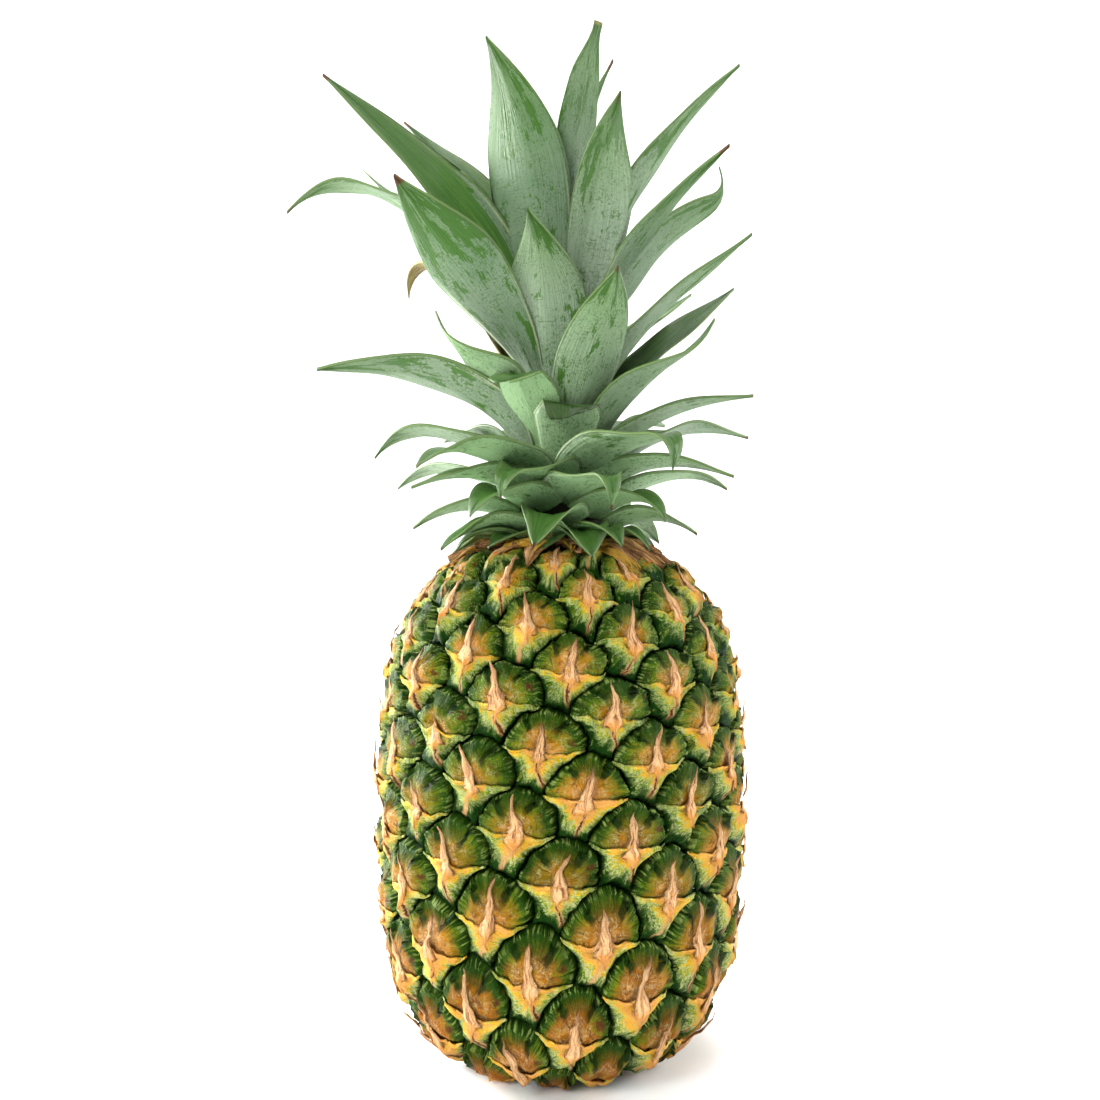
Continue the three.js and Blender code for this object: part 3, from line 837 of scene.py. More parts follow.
@dataclass(frozen=True)
class Shell:
    """The fruit's profile: a squarish ellipse turned round the axis, widest at its waist."""

    radius: float = 59.5
    waist: float = 88.1
    below: Pair = (89.3, 3.2)
    above: Pair = (82.4, 2.86)
    top: float = 168.3
    steps: int = 400

    def half(self, reach: float, squareness: float, side: int) -> list[tuple[float, float, float]]:
        """Walks from the waist to one pole.

        Args:
            reach: Height of the pole above or below the waist.
            squareness: 2 gives an ellipse, more gives a squarer one.
            side: 1 above the waist and -1 below it.

        Returns:
            Stations as distance along the profile, radius and height.
        """
        stations, last = [], (0.0, self.radius, self.waist)
        for step in range(1, self.steps + 1):
            angle = math.pi / 2 * step / self.steps
            radius = self.radius * max(0.0, math.cos(angle)) ** (2 / squareness)
            height = self.waist + side * reach * math.sin(angle) ** (2 / squareness)
            stride = math.hypot(radius - last[1], height - last[2])
            last = (last[0] + side * stride, radius, height)
            stations.append(last)
        return stations

    @cached_property
    def stations(self) -> list[tuple[float, float, float]]:
        """The whole profile, from the bottom pole to the top one."""
        middle = [(0.0, self.radius, self.waist)]
        return self.half(*self.below, -1)[::-1] + middle + self.half(*self.above, 1)

    @cached_property
    def distances(self) -> list[float]:
        """The stations' distances along the profile."""
        return [station[0] for station in self.stations]

    def cover(self, radius: float) -> float:
        """Height of the fruit's shoulder at a distance from the axis."""
        inside = clamp(radius / self.radius, 0.0, 1.0)
        reach, squareness = self.above
        return min(self.top, self.waist + reach * (1 - inside**squareness) ** (1 / squareness))

    def at(self, station: float) -> ShellPlace:
        """The place at a distance along the profile."""
        following = int(clamp(bisect_left(self.distances, station), 1, len(self.distances) - 1))
        low, high = self.stations[following - 1], self.stations[following]
        share = (station - low[0]) / (high[0] - low[0])
        stride = math.hypot(high[1] - low[1], high[2] - low[2])
        return ShellPlace(
            radius=lerp(low[1], high[1], share),
            height=lerp(low[2], high[2], share),
            outward=(high[2] - low[2]) / stride,
            upward=(low[1] - high[1]) / stride,
        )


@dataclass(frozen=True)
class EyeLattice:
    """Where the eyes sit: each turns by the golden turn from the last and climbs a little less."""

    shell: Shell = field(default_factory=Shell)
    first: int = -101
    last: int = 75
    bearing: float = -5.4
    station: float = 21.7
    rise: float = 1.074
    rise_square: float = -0.00113
    rise_cube: float = 0.000025
    pole_ease: float = 12.0
    climb: float = 0.041
    fade: Pair = (15.0, 27.0)
    wander: tuple[Pair, Pair] = ((0.12, 1.5), (0.34, 0.9))
    clearance: float = 0.8
    eight: Pair = (20.8, 8.5)
    thirteen: Pair = (-12.9, 13.9)

    def station_of(self, number: float) -> float:
        """Distance along the profile of an eye, slowed so that it never passes a pole."""
        rise = self.rise + self.rise_square * number + self.rise_cube * number * number
        station = self.station + rise * number
        top = self.shell.distances[-1] - self.pole_ease
        bottom = self.shell.distances[0] + self.pole_ease
        if station > top:
            return top + self.pole_ease * (1 - math.exp((top - station) / self.pole_ease))
        if station < bottom:
            return bottom - self.pole_ease * (1 - math.exp((station - bottom) / self.pole_ease))
        return station

    def point(self, number: int, steps: Pair, lift: float) -> Vector:
        """A point of an eye.

        Args:
            number: The eye's number.
            steps: Steps along the 8-spiral and the 13-spiral from the eye's middle.
            lift: Height above the shell, which fades towards the poles.

        Returns:
            The point in millimetres.
        """
        eights, thirteens = steps
        shell = self.shell.at(self.station_of(number + 8 * eights + 13 * thirteens))
        turn = GOLDEN_TURN * number + EIGHT_TURN * eights + THIRTEEN_TURN * thirteens
        faded = lift * smoothstep(shell.radius, *self.fade)
        radius = shell.radius + faded * shell.outward
        height = shell.height + faded * shell.upward
        share = clamp(shell.height, 0.0, self.shell.top) / self.shell.top
        point = on_bearing(radius, self.bearing + turn, height)
        point.z += self.climb * math.sin(math.pi * share) * point.x
        for pace, stray in self.wander:
            point += wandering(point * pace) * stray
        return point

    def resting_point(self, number: int, steps: Pair, lift: float) -> Vector:
        """A point of an eye that never reaches below the surface that the fruit stands on."""
        point = self.point(number, steps, lift)
        point.z = max(point.z, self.clearance)
        return point

    def steps(self, across: float, up: float) -> Pair:
        """Millimetres across and up an eye as steps along the two spirals."""
        area = self.eight[0] * self.thirteen[1] - self.eight[1] * self.thirteen[0]
        return (
            (across * self.thirteen[1] - up * self.thirteen[0]) / area,
            (up * self.eight[0] - across * self.eight[1]) / area,
        )

    def spread(self, steps: Pair) -> Pair:
        """Steps along the two spirals as millimetres across and up an eye."""
        return (
            steps[0] * self.eight[0] + steps[1] * self.thirteen[0],
            steps[0] * self.eight[1] + steps[1] * self.thirteen[1],
        )


SIDES = 6
EYE_SEED = (7919, 13)
BROKEN_SHARE = 0.1
BROKEN_LENGTHS = (0.45, 0.6)
WHOLE_LENGTHS = (0.82, 1.08)
SPINE_SWAY = 1.7
SPINE_STAND = 1.9


@dataclass(frozen=True)
class Eye:
    """One eye's own chances.

    Attributes:
        number: Its number in the spiral.
        warm: 0 for a green eye and 1 for a ripe orange one.
        odd: A second chance, which shifts its patterns.
        sway: How far its spine leans to the side.
        length: Length of its spine against the usual.
        stand: How far the spine's tip stands off.
    """

    number: int
    warm: float
    odd: float
    sway: float
    length: float
    stand: float

    @classmethod
    def of(cls, number: int) -> "Eye":
        """Draws an eye's chances, always the same for the same number."""
        draw = random.Random(number * EYE_SEED[0] + EYE_SEED[1])
        lengths = BROKEN_LENGTHS if draw.random() < BROKEN_SHARE else WHOLE_LENGTHS
        return cls(
            number=number,
            warm=draw.random(),
            odd=draw.random(),
            sway=draw.gauss(0.0, SPINE_SWAY),
            length=draw.uniform(*lengths),
            stand=draw.uniform(0.0, SPINE_STAND),
        )


@dataclass
class Rind:
    """The fruit's skin: domes joined along their grooves, a bract on each and a dry spine on each bract."""

    lattice: EyeLattice = field(default_factory=EyeLattice)
    dome_rings: Floats = (
        0, 0.12, 0.24, 0.36, 0.47, 0.57, 0.66, 0.745, 0.815, 0.87, 0.91, 0.955, 1
    )
    dome_rise: float = 1.5
    dome_rises: Pair = (0.7, 1.25)
    dome_rim: float = 0.88
    dome_bumps: Pairs = ((0.3, 0.4), (0.9, 0.15))
    dome_seed: float = 50.0
    groove: float = 3.3
    groove_ease: float = 0.8
    cheek_rise: float = 0.7
    cheek_place: Pair = (5.4, 2.8)
    cheek_size: Pair = (3.0, 3.4)
    sepal_edges: Pair = (48.0, 122.0)
    sepal_step: float = 1.25
    sepal_fade: float = 13.0
    sepal_rings: Pair = (0.25, 0.75)
    notch: float = 0.12
    notch_width: float = 5.0
    notch_rings: int = 5
    fringe: Floats = (0.0, 0.0, 1.0, 0.5)
    tooth_sizes: Pair = (0.4, 1.3)
    tooth_lift: float = 0.7
    tooth_reach: float = 0.034
    tuck: Pair = (0.9, 2.0)
    bulges: tuple[float, float, float] = (2.1, 0.7, 2.0)
    seam_slope: float = -0.098
    seam_sag: Pair = (1.1, 12.0)
    seam_flare: Pair = (1.3, 2.0)
    bract_segments: int = 12
    bract_edge: float = 0.96
    bract_thickness: float = 0.6
    bract_middle: Pair = (0.0, -4.2)
    bract_rise: float = 2.0
    bract_ease: float = 1.5
    bract_foot: float = -1.5
    bract_rim: Pair = (1.9, -0.9)
    rim_ease: float = 1.3
    lip: Pair = (-2.0, -0.2)
    under_lip: Pair = (-1.6, -0.4)
    keel: Pair = (0.5, 1.6)
    keel_rise: Pair = (-12.0, -6.0)
    bract_bumps: Pairs = ((0.45, 0.35), (1.1, 0.15))
    bract_seed: float = 40.0
    spine_columns: int = 4
    spine_rows: int = 15
    spine_length: float = 16.4
    spine_foot: float = -6.0
    spine_thickness: float = 0.5
    spine_ease: float = 1.15
    spine_widths: Pairs = (
        (0, 0.2), (0.1, 0.7), (0.2, 1.5), (0.28, 2.7), (0.34, 2.2), (0.5, 1.4), (0.8, 0.7), (1, 0.08)
    )
    spine_ragged: float = 0.45
    spine_seeds: Pair = (30.0, 70.0)
    spine_paces: Pair = (12, 9)
    spine_free: float = 0.25
    spine_root: Pair = (0.24, 0.4)
    spine_seat: Pair = (2.55, 0.3)
    seated_to: float = 0.2
    seat_ease: float = 1.5
    stand_ease: float = 1.6
    spine_lift: float = 2.0
    spine_ridge: float = 0.55
    spine_crinkle: float = 0.2
    sway_gain: float = 1.6
    sway_ease: float = 1.5
    barb: Pair = (0.28, 0.06)
    bare_middle: float = 24.0
    bare_foot: float = 3.0
    spineless_foot: float = 8.0
    socket_radius: float = 10.3
    socket_depth: float = 6.0
    weld: float = 1e-3
    cut_reach: float = 1e-4
    level_reach: float = 1e-2

    @cached_property
    def corners(self) -> list[Pair]:
        """The six corners of an eye in steps, from the right wing counter-clockwise."""
        wing, crest = (0.4, -1 / 3), (0.6, 1 / 3)
        shifts = [(wing, 0, 0), (crest, 0, 0), (wing, 0, 1), (crest, -1, 0), (wing, -1, 0), (crest, -1, -1)]
        return [(place[0] + eights, place[1] + thirteens) for place, eights, thirteens in shifts]

    @cached_property
    def side_bulges(self) -> list[Pair]:
        """How far the middle of each side bows, in steps, alike on opposite sides so that eyes fit."""
        bows = []
        for side, bulge in enumerate(self.bulges):
            start, end = (self.lattice.spread(self.corners[side + k]) for k in (0, 1))
            run = Vector((end[0] - start[0], end[1] - start[1])).normalized()
            bows.append(self.lattice.steps(run.y * bulge, -run.x * bulge))
        return bows + bows

    def outline(self, turn: float) -> Pair:
        """A point of an eye's outline in steps, some share of the way round from the right wing."""
        side, share = divmod(turn * SIDES, 1)
        start = self.corners[int(side) % SIDES]
        end = self.corners[(int(side) + 1) % SIDES]
        bow = self.side_bulges[int(side) % SIDES]
        lift = 4 * share * (1 - share)
        return tuple(lerp(start[way], end[way], share) + bow[way] * lift for way in (0, 1))

    def seam(self, across: float) -> float:
        """Height of the bract's upper edge in an eye, in millimetres."""
        sag, reach = self.seam_sag
        flare, width = self.seam_flare
        sagging = sag * (1 - min(1.0, abs(across) / reach) ** 2)
        return self.seam_slope * across - sagging + flare * hump(across, width)

    def sepal_lift(self, bearing: float, ring: float) -> float:
        """The step where each side sepal lies over the top one, on a bearing from the eye's middle."""
        right, left = self.sepal_edges
        lift = 0.0
        for beyond in (right - bearing, bearing - left):
            side = 1.0 if beyond > 0 else -1.0
            lift += side * self.sepal_step * math.exp(-abs(beyond) / self.sepal_fade)
        return lift * smoothstep(ring, *self.sepal_rings)

    def dome_lift(self, ring: float, across: float, up: float, rise: float) -> float:
        """Height of a dome over the shell.

        Args:
            ring: 0 in the middle of the eye and 1 in the groove.
            across: Millimetres across the eye.
            up: Millimetres up the eye.
            rise: How far the middle stands up.

        Returns:
            The lift in millimetres.
        """
        crown = rise * max(0.0, 1 - (ring / self.dome_rim) ** 2)
        drop = self.groove * smoothstep(ring, self.dome_rim, 1.0) ** self.groove_ease
        cheek = self.cheek_rise * hump(abs(across) - self.cheek_place[0], self.cheek_size[0])
        cheek *= hump(up - self.cheek_place[1], self.cheek_size[1])
        bearing = math.degrees(math.atan2(up, across))
        sepals = self.sepal_lift(bearing, ring) if up > 0 else 0.0
        depth, reach = self.tuck
        tucked = depth * smoothstep(up - self.seam(across), reach, 0.0)
        return crown + cheek + sepals - drop - tucked

    def eye_pairs(self, eye: Eye, across: float, up: float, ring: float, height: float) -> dict[str, Pair]:
        """What a vertex of an eye tells its finish."""
        return {
            "eye": (across, up),
            "ring": (ring, height / self.lattice.shell.top),
            "chance": (eye.warm, eye.odd),
        }

    def dome(self, sheet: Sheet, eye: Eye) -> None:
        """Adds one eye's dome."""
        last = len(self.dome_rings) - 1
        rim_points = 8 * last
        draw = random.Random(eye.number)
        teeth = [draw.uniform(*self.tooth_sizes) * (1 if index % 2 else -1) for index in range(rim_points)]
        rise = self.dome_rise * draw.uniform(*self.dome_rises)

        def place(u: float, v: float) -> Placed:
            """Places one vertex of the dome."""
            at = ring_place(u, v, 2 * last)
            inward = last - at.level
            ring = self.dome_rings[at.level]
            outline = self.outline(at.turn)
            across, up = self.lattice.spread((outline[0] * ring, outline[1] * ring))
            bearing = math.degrees(math.atan2(up, across))
            if 0 < at.turn < 0.5 and 0 < inward < self.notch_rings:
                ring -= self.notch * sum(hump(bearing - edge, self.notch_width) for edge in self.sepal_edges)
            share = self.fringe[inward] if at.turn < 0.5 and inward < len(self.fringe) else 0.0
            tooth = share * teeth[round(at.turn * rim_points) % rim_points]
            ring += self.tooth_reach * tooth
            steps = (outline[0] * ring, outline[1] * ring)
            across, up = self.lattice.spread(steps)
            lift = self.dome_lift(ring, across, up, rise) + self.tooth_lift * tooth
            if inward:
                lift += bumps(self.dome_bumps, across, up, eye.odd * self.dome_seed)
            point = self.lattice.point(eye.number, steps, lift)
            return point, self.eye_pairs(eye, across, up, ring, point.z)

        sheet.grid(2 * last, 2 * last, place)

    def bract_outline(self, turn: float) -> Pair:
        """A point of a bract's outline in millimetres, from the left wing round below and along the seam."""
        if turn <= 0.5:
            across, up = self.lattice.spread(self.outline(0.5 + turn))
            return across * self.bract_edge, up * self.bract_edge
        wing = self.lattice.spread(self.corners[0])[0] * self.bract_edge
        across = lerp(wing, -wing, (turn - 0.5) * 2)
        return across, self.seam(across)

    def bract(self, sheet: Sheet, eye: Eye) -> None:
        """Adds one eye's bract."""
        wing = self.lattice.spread(self.corners[0])[0]
        height, width = self.keel

        def place(u: float, v: float) -> Placed:
            """Places one vertex of the bract."""
            at = ring_place(u, v, self.bract_segments)
            outline = self.bract_outline(at.turn)
            across, up = (lerp(middle, end, at.ring) for middle, end in zip(self.bract_middle, outline))
            above = up - self.seam(across)
            rim = lerp(*self.bract_rim, (abs(across) / wing) ** self.rim_ease)
            edge = lerp(self.bract_foot, rim, smoothstep(above, *self.lip))
            lift = lerp(self.bract_rise, edge, at.ring**self.bract_ease)
            lift += height * hump(across, width) * smoothstep(up, *self.keel_rise)
            lift += bumps(self.bract_bumps, across, up, eye.odd * self.bract_seed)
            point = self.lattice.resting_point(eye.number, self.lattice.steps(across, up), lift)
            ring = at.ring * (1.0 - smoothstep(above, *self.under_lip))
            return point, self.eye_pairs(eye, across, up, ring, point.z)

        faces = sheet.grid(self.bract_segments, self.bract_segments, place)
        sheet.thicken(faces, self.bract_thickness)

    def spine(self, sheet: Sheet, eye: Eye) -> None:
        """Adds one eye's spine."""
        length = self.spine_length * eye.length
        outline_seed, surface_seed = (eye.odd * seed for seed in self.spine_seeds)

        def place(u: float, v: float) -> Placed:
            """Places one vertex of the spine."""
            share = ((v + 1) / 2) ** self.spine_ease
            free = max(0.0, share - self.spine_free)
            notches = noise.noise(Vector((u * 2, share * self.spine_paces[0], outline_seed)))
            ragged = 1 + self.spine_ragged * notches
            bend = eye.sway * free**self.sway_ease * self.sway_gain
            across = bend + u * along(self.spine_widths, share) * ragged
            up = self.spine_foot + length * share - hump(share - self.barb[0], self.barb[1]) * abs(u) ** 3
            ridge = self.spine_ridge * (1 - abs(u)) * (1 - share) ** 0.5
            standing = self.spine_lift + eye.stand * free**self.stand_ease + ridge
            seated = self.spine_seat[0] + self.spine_seat[1] * smoothstep(share, 0.0, self.seated_to)
            seated -= abs(u) ** self.seat_ease
            lift = lerp(standing, seated, 1 - smoothstep(share, *self.spine_root))
            lift += self.spine_crinkle * noise.noise(Vector((u, share * self.spine_paces[1], surface_seed)))
            point = self.lattice.resting_point(eye.number, self.lattice.steps(across, up), lift)
            return point, {"blade": (u, share), "chance": (eye.warm, eye.odd)}

        faces = sheet.grid(self.spine_columns, self.spine_rows, place)
        sheet.thicken(faces, self.spine_thickness)

    def socket(self, mesh: bmesh.types.BMesh, loop: list[bmesh.types.BMEdge]) -> list[bmesh.types.BMEdge]:
        """Takes the bottom's edge inwards and up to the root of the hollow round the stalk.

        Args:
            mesh: The skin.
            loop: The open edges at the resting face.

        Returns:
            The open edges at the hollow's root.
        """
        for level in (0.0, self.socket_depth):
            made = bmesh.ops.extrude_edge_only(mesh, edges=loop)["geom"]
            for vertex in (item for item in made if isinstance(item, bmesh.types.BMVert)):
                bearing = math.degrees(math.atan2(vertex.co.x, -vertex.co.y))
                vertex.co = on_bearing(self.socket_radius, bearing, level)
            loop = [item for item in made if isinstance(item, bmesh.types.BMEdge) and item.is_boundary]
        return loop

    def close_ends(self, mesh: bmesh.types.BMesh) -> None:
        """Cuts the skin level at the resting face and under the crown, and closes both ends."""
        top = self.lattice.shell.top
        for height, outward in ((0.0, -1.0), (top, 1.0)):
            bmesh.ops.bisect_plane(
                mesh,
                geom=[*mesh.verts, *mesh.edges, *mesh.faces],
                dist=self.cut_reach,
                plane_co=(0.0, 0.0, height),
                plane_no=(0.0, 0.0, outward),
                clear_outer=True,
            )
        for height in (0.0, top):
            open_edges = (edge for edge in mesh.edges if edge.is_boundary)
            rim = [edge for edge in open_edges if abs(edge.verts[0].co.z - height) < self.level_reach]
            bmesh.ops.edgeloop_fill(mesh, edges=rim if height else self.socket(mesh, rim))
        bmesh.ops.triangulate(mesh, faces=[face for face in mesh.faces if len(face.verts) > 4])

    def build(self) -> list[bpy.types.Object]:
        """Builds the rind's three pieces.

        Returns:
            The domes, the bracts and the spines.
        """
        eyes = [Eye.of(number) for number in range(self.lattice.first, self.lattice.last + 1)]
        domes, bracts = Sheet("eye", "ring", "chance"), Sheet("eye", "ring", "chance")
        spines = Sheet("blade", "chance")
        for eye in eyes:
            self.dome(domes, eye)
            place = self.lattice.shell.at(self.lattice.station_of(eye.number))
            if place.radius > self.bare_middle and place.height > self.bare_foot:
                self.bract(bracts, eye)
                if place.height > self.spineless_foot:
                    self.spine(spines, eye)
        bmesh.ops.remove_doubles(domes.mesh, verts=domes.mesh.verts, dist=self.weld)
        self.close_ends(domes.mesh)
        bmesh.ops.recalc_face_normals(domes.mesh, faces=domes.mesh.faces)
        return [
            domes.finish("rind_domes", Slot.RIND, DomeFinish().material(), "fruit"),
            bracts.finish("rind_bracts", Slot.RIND, BractFinish().material(), "fruit"),
            spines.finish("rind_spines", Slot.RIND, SpineFinish().material(), "fruit"),
        ]


# ---- crown


@dataclass(frozen=True)
class LeafLook:
    """What one leaf's blade has beyond its plain form.

    Attributes:
        left: Its left half's width against the plain form's.
        right: Its right half's width.
        lean: Further turn of its tip round the axis, in degrees.
        roll: Further roll about its centre line.
        twist: Roll that grows towards its tip.
        curl: How far its end curls up, or down where negative.
        curl_from: Where the curl begins, as a share of the length.
        bow: How far it bends up along its whole length, in degrees, or down where negative.
        crease: Where the end is folded over, as a share of the length. 1 leaves it unfolded.
        slant: How much further up the crease is at the right edge.
        fold: How far the folded end turns, in degrees.
        flap: Length of the folded end in millimetres, at its left and right edges.
        slide: How far sideways the folded end runs for each millimetre of its length.
        pivot: The place across the leaf that the folded end narrows to.
        narrowing: How much of its width the folded end loses.
        stretch: Its length against the plain form's.
        taper: How late it narrows to its tip, or 0 for the plain form's.
        blunt: Half width of its tip in millimetres.
        bare: How much of its wax is rubbed off.
        dry: How much of it has dried to straw.
        stale_and_painted_shade: How much its folded end has darkened, partly with age and partly as painted
            shade.
    """

    left: float = 1.0
    right: float = 1.0
    lean: float = 0.0
    roll: float = 0.0
    twist: float = 0.0
    curl: float = 0.0
    curl_from: float = 0.8
    bow: float = 0.0
    crease: float = 1.0
    slant: float = 0.0
    fold: float = -150.0
    flap: Pair = (0.0, 0.0)
    slide: float = 0.0
    pivot: float = 0.0
    narrowing: float = 0.0
    stretch: float = 1.0
    taper: float = 0.0
    blunt: float = 0.3
    bare: float = 0.0
    dry: float = 0.0
    stale_and_painted_shade: float = 0.0


@dataclass(frozen=True)
class Leaf:
    """One leaf's shape.

    Attributes:
        number: Its number in the crown's spiral, 0 for the broad cut leaf at the front.
        bearing: The bearing it grows on.
        line: Root, two handles and tip of its centre line, as distance from the axis and height.
        radius: Distance from the axis of its root.
        half_width: Half its greatest width.
        wrap: Half the angle that it may span round the axis, in radians.
        roll: How far the blade rolls about its centre line.
        taper: How late it narrows to its tip.
        drift: Turn of its tip round the axis.
        base_gain: How much wider its base is than the plain form's.
        look: What it has beyond its plain form.
    """

    number: int
    bearing: float
    line: tuple[Vector, Vector, Vector, Vector]
    radius: float
    half_width: float
    wrap: float
    roll: float
    taper: float
    drift: float
    base_gain: float
    look: LeafLook
    steps: int = 60

    def bezier(self, share: float) -> Vector:
        """The plain centre line's point, as distance from the axis and height."""
        a, b, c, d = self.line
        rest = 1 - share
        return a * rest**3 + b * (3 * rest * rest * share) + c * (3 * rest * share * share) + d * share**3

    @cached_property
    def path(self) -> list[tuple[Vector, float]]:
        """The centre line with its curl, as points with their directions in radians."""
        stations, point, last = [], self.line[0], self.line[0]
        for step in range(1, self.steps + 1):
            share = step / self.steps
            following = self.bezier(share)
            stride = following - last
            curled = self.look.curl * smoothstep(share, self.look.curl_from, 1.0)
            angle = math.atan2(stride.y, stride.x) + math.radians(curled + self.look.bow * share)
            stations.append((point, angle))
            point = point + Vector((math.cos(angle), math.sin(angle))) * (stride.length * self.look.stretch)
            last = following
        return [*stations, (point, stations[-1][1])]

    def centre(self, share: float) -> tuple[Vector, float]:
        """The centre line's point and direction at a share of its length."""
        step, part = divmod(clamp(share, 0.0, 1.0) * self.steps, 1)
        step = min(int(step), self.steps - 1)
        (here, angle), (following, next_angle) = self.path[step], self.path[step + 1]
        part = part if share < 1 else 1.0
        return here.lerp(following, part), lerp(angle, next_angle, part)

    @cached_property
    def length(self) -> float:
        """Length of the centre line."""
        return sum((b[0] - a[0]).length for a, b in zip(self.path, self.path[1:]))


@dataclass(frozen=True)
class Stem:
    """The crown's short stem, which the leaves stand on."""

    foot: float = 168.6
    radii: Pair = (16.0, 4.0)
    tip: float = 222.0
    collar_height: float = 1.6

    def radius_at(self, height: float) -> float:
        """Distance from the axis of the stem's surface at a height."""
        start = self.foot + self.collar_height
        return lerp(*self.radii, (height - start) / (self.tip - 1 - start))


@dataclass
class Crown:
    """The crown: leaves in a golden-angle spiral on a short stem, broad and upright towards the middle.

    The pairs of sizes that go from the lowest leaf, at 0, to the highest, at 1, are read with `along`.
    """

    own: dict[int, dict[str, float]]
    looks: dict[int, LeafLook]
    stem: Stem = field(default_factory=Stem)
    first: int = -27
    last: int = 29
    bearing: float = 3.0
    leaf_heights: Pair = (171.4, 219.0)
    gap: float = 0.3
    solid_thickness: float = 1.0
    thickness: float = 0.8
    reach: Pairs = ((0, 42), (0.25, 57), (0.45, 62), (0.8, 66), (1, 40))
    tip_height: Pairs = ((0, 165), (0.25, 181), (0.48, 214), (0.7, 262), (0.85, 303), (1, 338))
    start_angle: Pairs = ((0, 25), (0.25, 40), (0.48, 68), (0.72, 83), (1, 89))
    tip_angle: Pairs = ((0, -42), (0.25, -28), (0.48, 0), (0.72, 34), (1, 66))
    half_width: Pairs = ((0, 7), (0.25, 9), (0.48, 10.8), (0.75, 12.3), (1, 10.5))
    wrap: Pairs = ((0, 0.74), (0.42, 0.68), (0.56, 0.46), (1, 0.44))
    wrap_gain: Pairs = ((0, 1.5), (0.45, 1.35), (1, 1.2))
    width_ease: float = 5.0
    eased_to: float = 0.8
    uneven_to: float = 0.6
    base_gain: Pairs = ((0, 1.55), (0.45, 1.35), (0.6, 1.0), (1, 1.0))
    base_reach: Pair = (0.15, 0.8)
    widest: float = 0.32
    taper: float = 2.1
    channel: float = 0.55
    free_from: float = 0.5
    handle: float = 0.38
    ripple_pace: float = 0.16
    ripple_lag: float = 1.3
    ripple_rim: float = 2.5
    ripple_heights: Pair = (0.3, 1.3)
    ripple_phases: Pair = (0.0, 6.0)
    keel: Pair = (0.35, 0.12)
    swell: float = 1.8
    swell_lumps: float = 0.4
    swell_paces: Pair = (5, 3)
    flap_gap: float = 0.4
    flap_ease: float = 1.5
    flap_span: Pair = (0.9, 0.2)
    blunt_from: float = 1.0
    blunt_share: float = 0.97
    frayed_from: float = 0.985
    frayed: float = 0.75
    columns: int = 12
    rows: int = 44
    flap_rows: int = 6
    basal: int = 17
    basal_bearing: float = 40.0
    basal_root: Pair = (16.5, 170.2)
    basal_reach: Pair = (31, 40)
    basal_height: Pair = (163.5, 169.0)
    basal_start: Pair = (24, 44)
    basal_tip: Pair = (-75, -40)
    basal_handle: float = 0.42
    basal_width: Pair = (5.0, 7.5)
    basal_drift: float = 8.0

    @cached_property
    def finish(self) -> bpy.types.Material:
        """The one material that all the leaves share."""
        return LeafFinish().material()

    def leaf(self, number: int) -> Leaf:
        """Works out one leaf's shape.

        Args:
            number: The leaf's number in the spiral.

        Returns:
            The leaf.
        """
        place = (number - self.first) / (self.last - self.first)
        own = self.own.get(number, {})
        look = self.looks.get(number, LeafLook())
        height = lerp(*self.leaf_heights, place)
        radius = self.stem.radius_at(height) + self.gap + self.solid_thickness
        root = Vector((radius, height))
        reach = own.get("reach", along(self.reach, place))
        tip = Vector((reach, own.get("height", along(self.tip_height, place))))
        handle = own.get("handle", self.handle) * (tip - root).length
        after_root = root + heading(own.get("start", along(self.start_angle, place)), handle)
        before_tip = tip - heading(own.get("tip", along(self.tip_angle, place)), handle)
        return Leaf(
            number=number,
            bearing=self.bearing + GOLDEN_TURN * number + own.get("turn", 0.0),
            line=(root, after_root, before_tip, tip),
            radius=radius,
            half_width=own.get("width", along(self.half_width, place)),
            wrap=own.get("wrap", along(self.wrap, place)) * along(self.wrap_gain, place),
            roll=own.get("roll", 0.0),
            taper=look.taper or own.get("taper", self.taper),
            drift=own.get("drift", 0.0),
            base_gain=along(self.base_gain, place),
            look=look,
        )

    def width_at(self, leaf: Leaf, share: float) -> float:
        """Half the width of a leaf at a share of its length, eased into the room it has round the stem."""
        beyond = max(0.0, (share - self.widest) / (1 - self.widest))
        gain = lerp(leaf.base_gain, 1.0, smoothstep(share, *self.base_reach))
        free = leaf.half_width * gain * (1 - beyond**leaf.taper)
        room = leaf.wrap * leaf.centre(share)[0].x
        mixed = clamp(0.5 + 0.5 * (room - free) / self.width_ease, 0.0, 1.0)
        rounded = self.width_ease * mixed * (1 - mixed) * smoothstep(share, 1.0, self.eased_to)
        eased = lerp(room, free, mixed) - rounded
        return max(leaf.look.blunt, eased)

